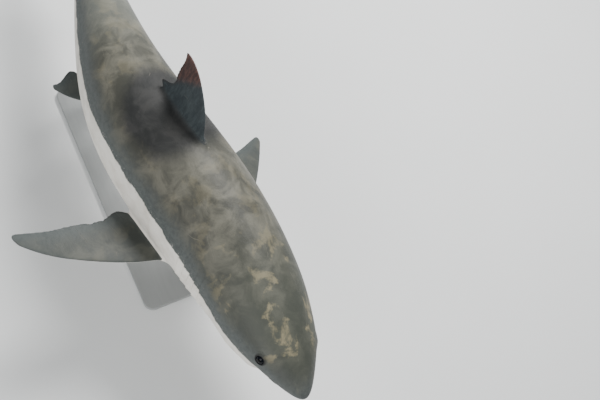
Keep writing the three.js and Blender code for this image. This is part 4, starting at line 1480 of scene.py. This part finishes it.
def eye_finish():
    """A near-black eye with a faintly spoked iris round its pupil."""
    f = Finish("shark_eye", Roughness=0.07, IOR=1.22)
    off_axis = f.attribute("off_axis")
    spokes = f.noise(f.attribute("spoke", "Vector"), 9, 5, 0.7)
    iris = f.mix(spokes.step(0.35, 0.7), *tones("iris"))
    pupil = 1 - off_axis.step(0.0125, 0.0145)
    colour = f.mix(pupil, iris, *tones("pupil"))
    colour = f.mix(off_axis.step(0.021, 0.0245), colour, *tones("eye edge"))
    return f.surface(Base_Color=colour)


def tooth_finish():
    """Ivory blades with a thin coat."""
    f = Finish("shark_tooth", Roughness=0.22, Coat_Weight=0.3)
    place = f.place()
    ivory = f.mix(f.noise(place, 60, 4).step(0.3, 0.7), *tones("teeth"))
    return f.surface(Base_Color=ivory, Normal=f.bump(f.noise(place, 500, 2), 0.0002, 0.4))


def board_finish(settings):
    """Satin lacquer with faint long streaks."""
    f = Finish("stand_board", Coat_Weight=0.25, Coat_Roughness=0.25)
    place = f.place()
    soft = f.noise(f.stretch(place, (1.5, 14, 1)), 3, 4)
    colour = f.mix(soft, *tones("board shade"), tuple(settings.board))
    return f.surface(
        Base_Color=colour,
        Roughness=0.36 + 0.12 * (f.noise(place, 30, 4) - 0.5),
        Normal=f.bump(f.noise(place, 260, 3), 0.0003, 0.35),
    )


def metal_finish():
    """Brushed metal."""
    f = Finish("stand_metal", Metallic=1.0)
    place = f.place()
    brushed = f.noise(f.stretch(place, (6, 6, 900)), 1.0, 3)
    colour = f.mix(brushed, *tones("metal"))
    rough = 0.26 + 0.16 * brushed
    return f.surface(Base_Color=colour, Roughness=rough, Normal=f.bump(brushed, 0.0002, 0.4))


def rubber_finish():
    """Matt black rubber with a little dust."""
    f = Finish("stand_cradle")
    place = f.place()
    dust = f.noise(place, 35, 5)
    colour = f.mix(dust.step(0.35, 0.8), *tones("rubber"))
    return f.surface(Base_Color=colour, Roughness=0.72 + 0.2 * (dust - 0.5), Normal=f.bump(dust, 0.0008, 0.5))


def floor_finish():
    """A plain pale floor."""
    f = Finish("floor")
    place = f.place()
    colour = f.mix(f.noise(place, 1.4, 3), *tones("floor"))
    return f.surface(Base_Color=colour, Roughness=0.7 + 0.1 * (f.noise(place, 60, 3) - 0.5))


# ---------------------------------------------------------------- the add-on
class SharkSkinSettings(bpy.types.PropertyGroup):
    """Sizes and colours of the skin."""

    cell: bpy.props.FloatProperty(
        name="Cell",
        description="Spacing of the skin's lattice behind the gills",
        default=0.0048,
        unit="LENGTH",
    )
    back: bpy.props.FloatVectorProperty(
        name="Back",
        description="Main colour of the back",
        default=linear(98, 96, 86),
        subtype="COLOR",
        size=4,
    )
    back_dark: bpy.props.FloatVectorProperty(
        name="Dark blotches",
        description="Colour of the darker mottling on the back",
        default=linear(60, 60, 54),
        subtype="COLOR",
        size=4,
    )
    patches: bpy.props.FloatVectorProperty(
        name="Patches",
        description="Colour of the light patches, which are strongest on the head",
        default=linear(143, 133, 104),
        subtype="COLOR",
        size=4,
    )
    dorsal_tip: bpy.props.FloatVectorProperty(
        name="Dorsal tip",
        description="Colour of the tip of the first dorsal fin",
        default=linear(88, 64, 58),
        subtype="COLOR",
        size=4,
    )
    belly: bpy.props.FloatVectorProperty(
        name="Belly",
        description="Colour of the belly",
        default=linear(226, 222, 213),
        subtype="COLOR",
        size=4,
    )


class SharkStandSettings(bpy.types.PropertyGroup):
    """Colours of the stand and the power of the lamps."""

    board: bpy.props.FloatVectorProperty(
        name="Board",
        description="Colour of the stand's board",
        default=linear(148, 150, 149),
        subtype="COLOR",
        size=4,
    )
    key_power: bpy.props.FloatProperty(
        name="Key lamp",
        description="Power of the main lamp",
        default=900,
        unit="POWER",
    )
    fill_power: bpy.props.FloatProperty(
        name="Fill lamp",
        description="Power of the lamp that lightens the shadows",
        default=380,
        unit="POWER",
    )


class SHARK_OT_skin(bpy.types.Operator):
    """Makes the one skin that covers the head, body and fins"""

    bl_idname = "shark.skin"
    bl_label = "Skin"

    def execute(self, context):
        settings = context.scene.shark_skin
        flesh = [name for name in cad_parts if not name.startswith(("stand_", "eye_"))]
        adopt(build_skin(settings), flesh, skin_finish(settings))
        return {"FINISHED"}


SEAT_TOLERANCE = 0.003  # between the skin's eye socket and the solid eye


class SHARK_OT_eyes(bpy.types.Operator):
    """Makes both eyeballs"""

    bl_idname = "shark.eyes"
    bl_label = "Eyes"

    def execute(self, context):
        finish = eye_finish()
        for side, node in ((1, "eye_left"), (-1, "eye_right")):
            low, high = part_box(node)
            middle = (Vector(low) + Vector(high)) / 2
            seat = Vector(pose(EYE_CENTRE * (1, side, 1))[0])
            gap = (middle - seat).length
            if gap > SEAT_TOLERANCE:
                raise ValueError(f"{node} lies {gap:.4f} m from its seat in the skin")
            adopt(build_eye(side), [node], finish)
        return {"FINISHED"}


class SHARK_OT_teeth(bpy.types.Operator):
    """Makes the upper and lower rows of teeth"""

    bl_idname = "shark.teeth"
    bl_label = "Teeth"

    def execute(self, context):
        finish = tooth_finish()
        for row, node in (("upper", "head"), ("lower", "lower_jaw")):
            adopt(build_teeth(row), [node], finish)
        return {"FINISHED"}


class SHARK_OT_stand(bpy.types.Operator):
    """Gives the stand's pieces their finishes"""

    bl_idname = "shark.stand"
    bl_label = "Stand"

    def execute(self, context):
        board, rubber, metal = board_finish(context.scene.shark_stand), rubber_finish(), metal_finish()
        finishes = {"base": board, "saddle": rubber, "rod": metal, "flange": metal}
        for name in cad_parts:
            if name.startswith("stand_"):
                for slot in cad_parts[name].material_slots:
                    slot.material = finishes[name.split("_")[1]]
        return {"FINISHED"}


FLOOR_SIZE = 60
STUDIO = {"Color": (0.9, 0.95, 1, 1), "Strength": 0.36}
LAMP_TARGET = (0, 0, 0.9)
LAMPS = {
    "key": {"place": (-1.8, 3.5, 6.0), "size": 2.6},
    "fill": {"place": (3.8, -4.2, 4.6), "size": 5},
}
CAMERA = {
    "azimuth": 49.7,
    "elevation": 65.5,
    "roll": 16.75,
    "distance": 5.82,  # from the foot of the first dorsal fin, in metres
    "right": 0.539,
    "up": -0.312,
    "lens": 62.3,  # and its sensor, in millimetres
    "sensor": 36,
}


class SHARK_OT_stage(bpy.types.Operator):
    """Makes the floor, the lights and the camera"""

    bl_idname = "shark.stage"
    bl_label = "Stage"

    def execute(self, context):
        bpy.ops.mesh.primitive_plane_add(size=FLOOR_SIZE)
        floor = bpy.context.object
        floor.name = "floor"
        floor.data.materials.append(floor_finish())
        settings = context.scene.shark_stand
        light("key", settings.key_power)
        light("fill", settings.fill_power)
        world = bpy.data.worlds.new("studio")
        context.scene.world = world
        world.use_nodes = True
        for socket, value in STUDIO.items():
            world.node_tree.nodes["Background"].inputs[socket].default_value = value
        place_camera(context.scene)
        return {"FINISHED"}


def light(name, power):
    """A square lamp that shines at the middle of the shark."""
    lamp = bpy.data.lights.new(name, "AREA")
    lamp.energy, lamp.size = power, LAMPS[name]["size"]
    thing = bpy.data.objects.new(name, lamp)
    thing.location = LAMPS[name]["place"]
    away = Vector(LAMPS[name]["place"]) - Vector(LAMP_TARGET)
    thing.rotation_euler = away.to_track_quat("Z", "Y").to_euler()
    bpy.context.collection.objects.link(thing)


def place_camera(scene):
    """Looks down on the back from ahead and to the right, past the front of the first dorsal fin."""
    root = FINS["dorsal_first"]["root"]
    sides = section(np.array([-root * PERCENT]))[1]
    anchor = Vector(pose([(-root * PERCENT, 0, float(sides[0][0] + sides[2][0]))])[0])
    azimuth, elevation, roll = (math.radians(CAMERA[k]) for k in ("azimuth", "elevation", "roll"))
    level = math.cos(elevation)
    back = Vector((math.sin(azimuth) * level, -math.cos(azimuth) * level, math.sin(elevation)))
    right = Vector((0, 0, 1)).cross(back).normalized()
    up = back.cross(right)
    right, up = right * math.cos(roll) + up * math.sin(roll), up * math.cos(roll) - right * math.sin(roll)
    lens = bpy.data.cameras.new("camera")
    lens.lens, lens.sensor_width = CAMERA["lens"], CAMERA["sensor"]
    camera = bpy.data.objects.new("camera", lens)
    axes = Matrix((right, up, back)).transposed().to_4x4()
    axes.translation = anchor + back * CAMERA["distance"] + right * CAMERA["right"] + up * CAMERA["up"]
    camera.matrix_world = axes
    scene.collection.objects.link(camera)
    scene.camera = camera


class SHARK_PT_panel(bpy.types.Panel):
    """Lists the pieces of the model"""

    bl_label = "Shark"
    bl_space_type = "VIEW_3D"
    bl_region_type = "UI"
    bl_category = "Shark"

    def draw(self, context):
        for group in (context.scene.shark_skin, context.scene.shark_stand):
            for prop in type(group).__annotations__:
                self.layout.prop(group, prop)
        for operator in OPERATORS:
            self.layout.operator(operator.bl_idname)


OPERATORS = (SHARK_OT_skin, SHARK_OT_eyes, SHARK_OT_teeth, SHARK_OT_stand, SHARK_OT_stage)
CLASSES = (SharkSkinSettings, SharkStandSettings, *OPERATORS, SHARK_PT_panel)


def register():
    for cls in CLASSES:
        bpy.utils.register_class(cls)
    bpy.types.Scene.shark_skin = bpy.props.PointerProperty(type=SharkSkinSettings)
    bpy.types.Scene.shark_stand = bpy.props.PointerProperty(type=SharkStandSettings)


def unregister():
    del bpy.types.Scene.shark_skin
    del bpy.types.Scene.shark_stand
    for cls in reversed(CLASSES):
        bpy.utils.unregister_class(cls)


def main():
    """Makes every piece and the stage."""
    register()
    for operator in OPERATORS:
        group, name = operator.bl_idname.split(".")
        getattr(getattr(bpy.ops, group), name)()


if __name__ == "__main__":
    main()
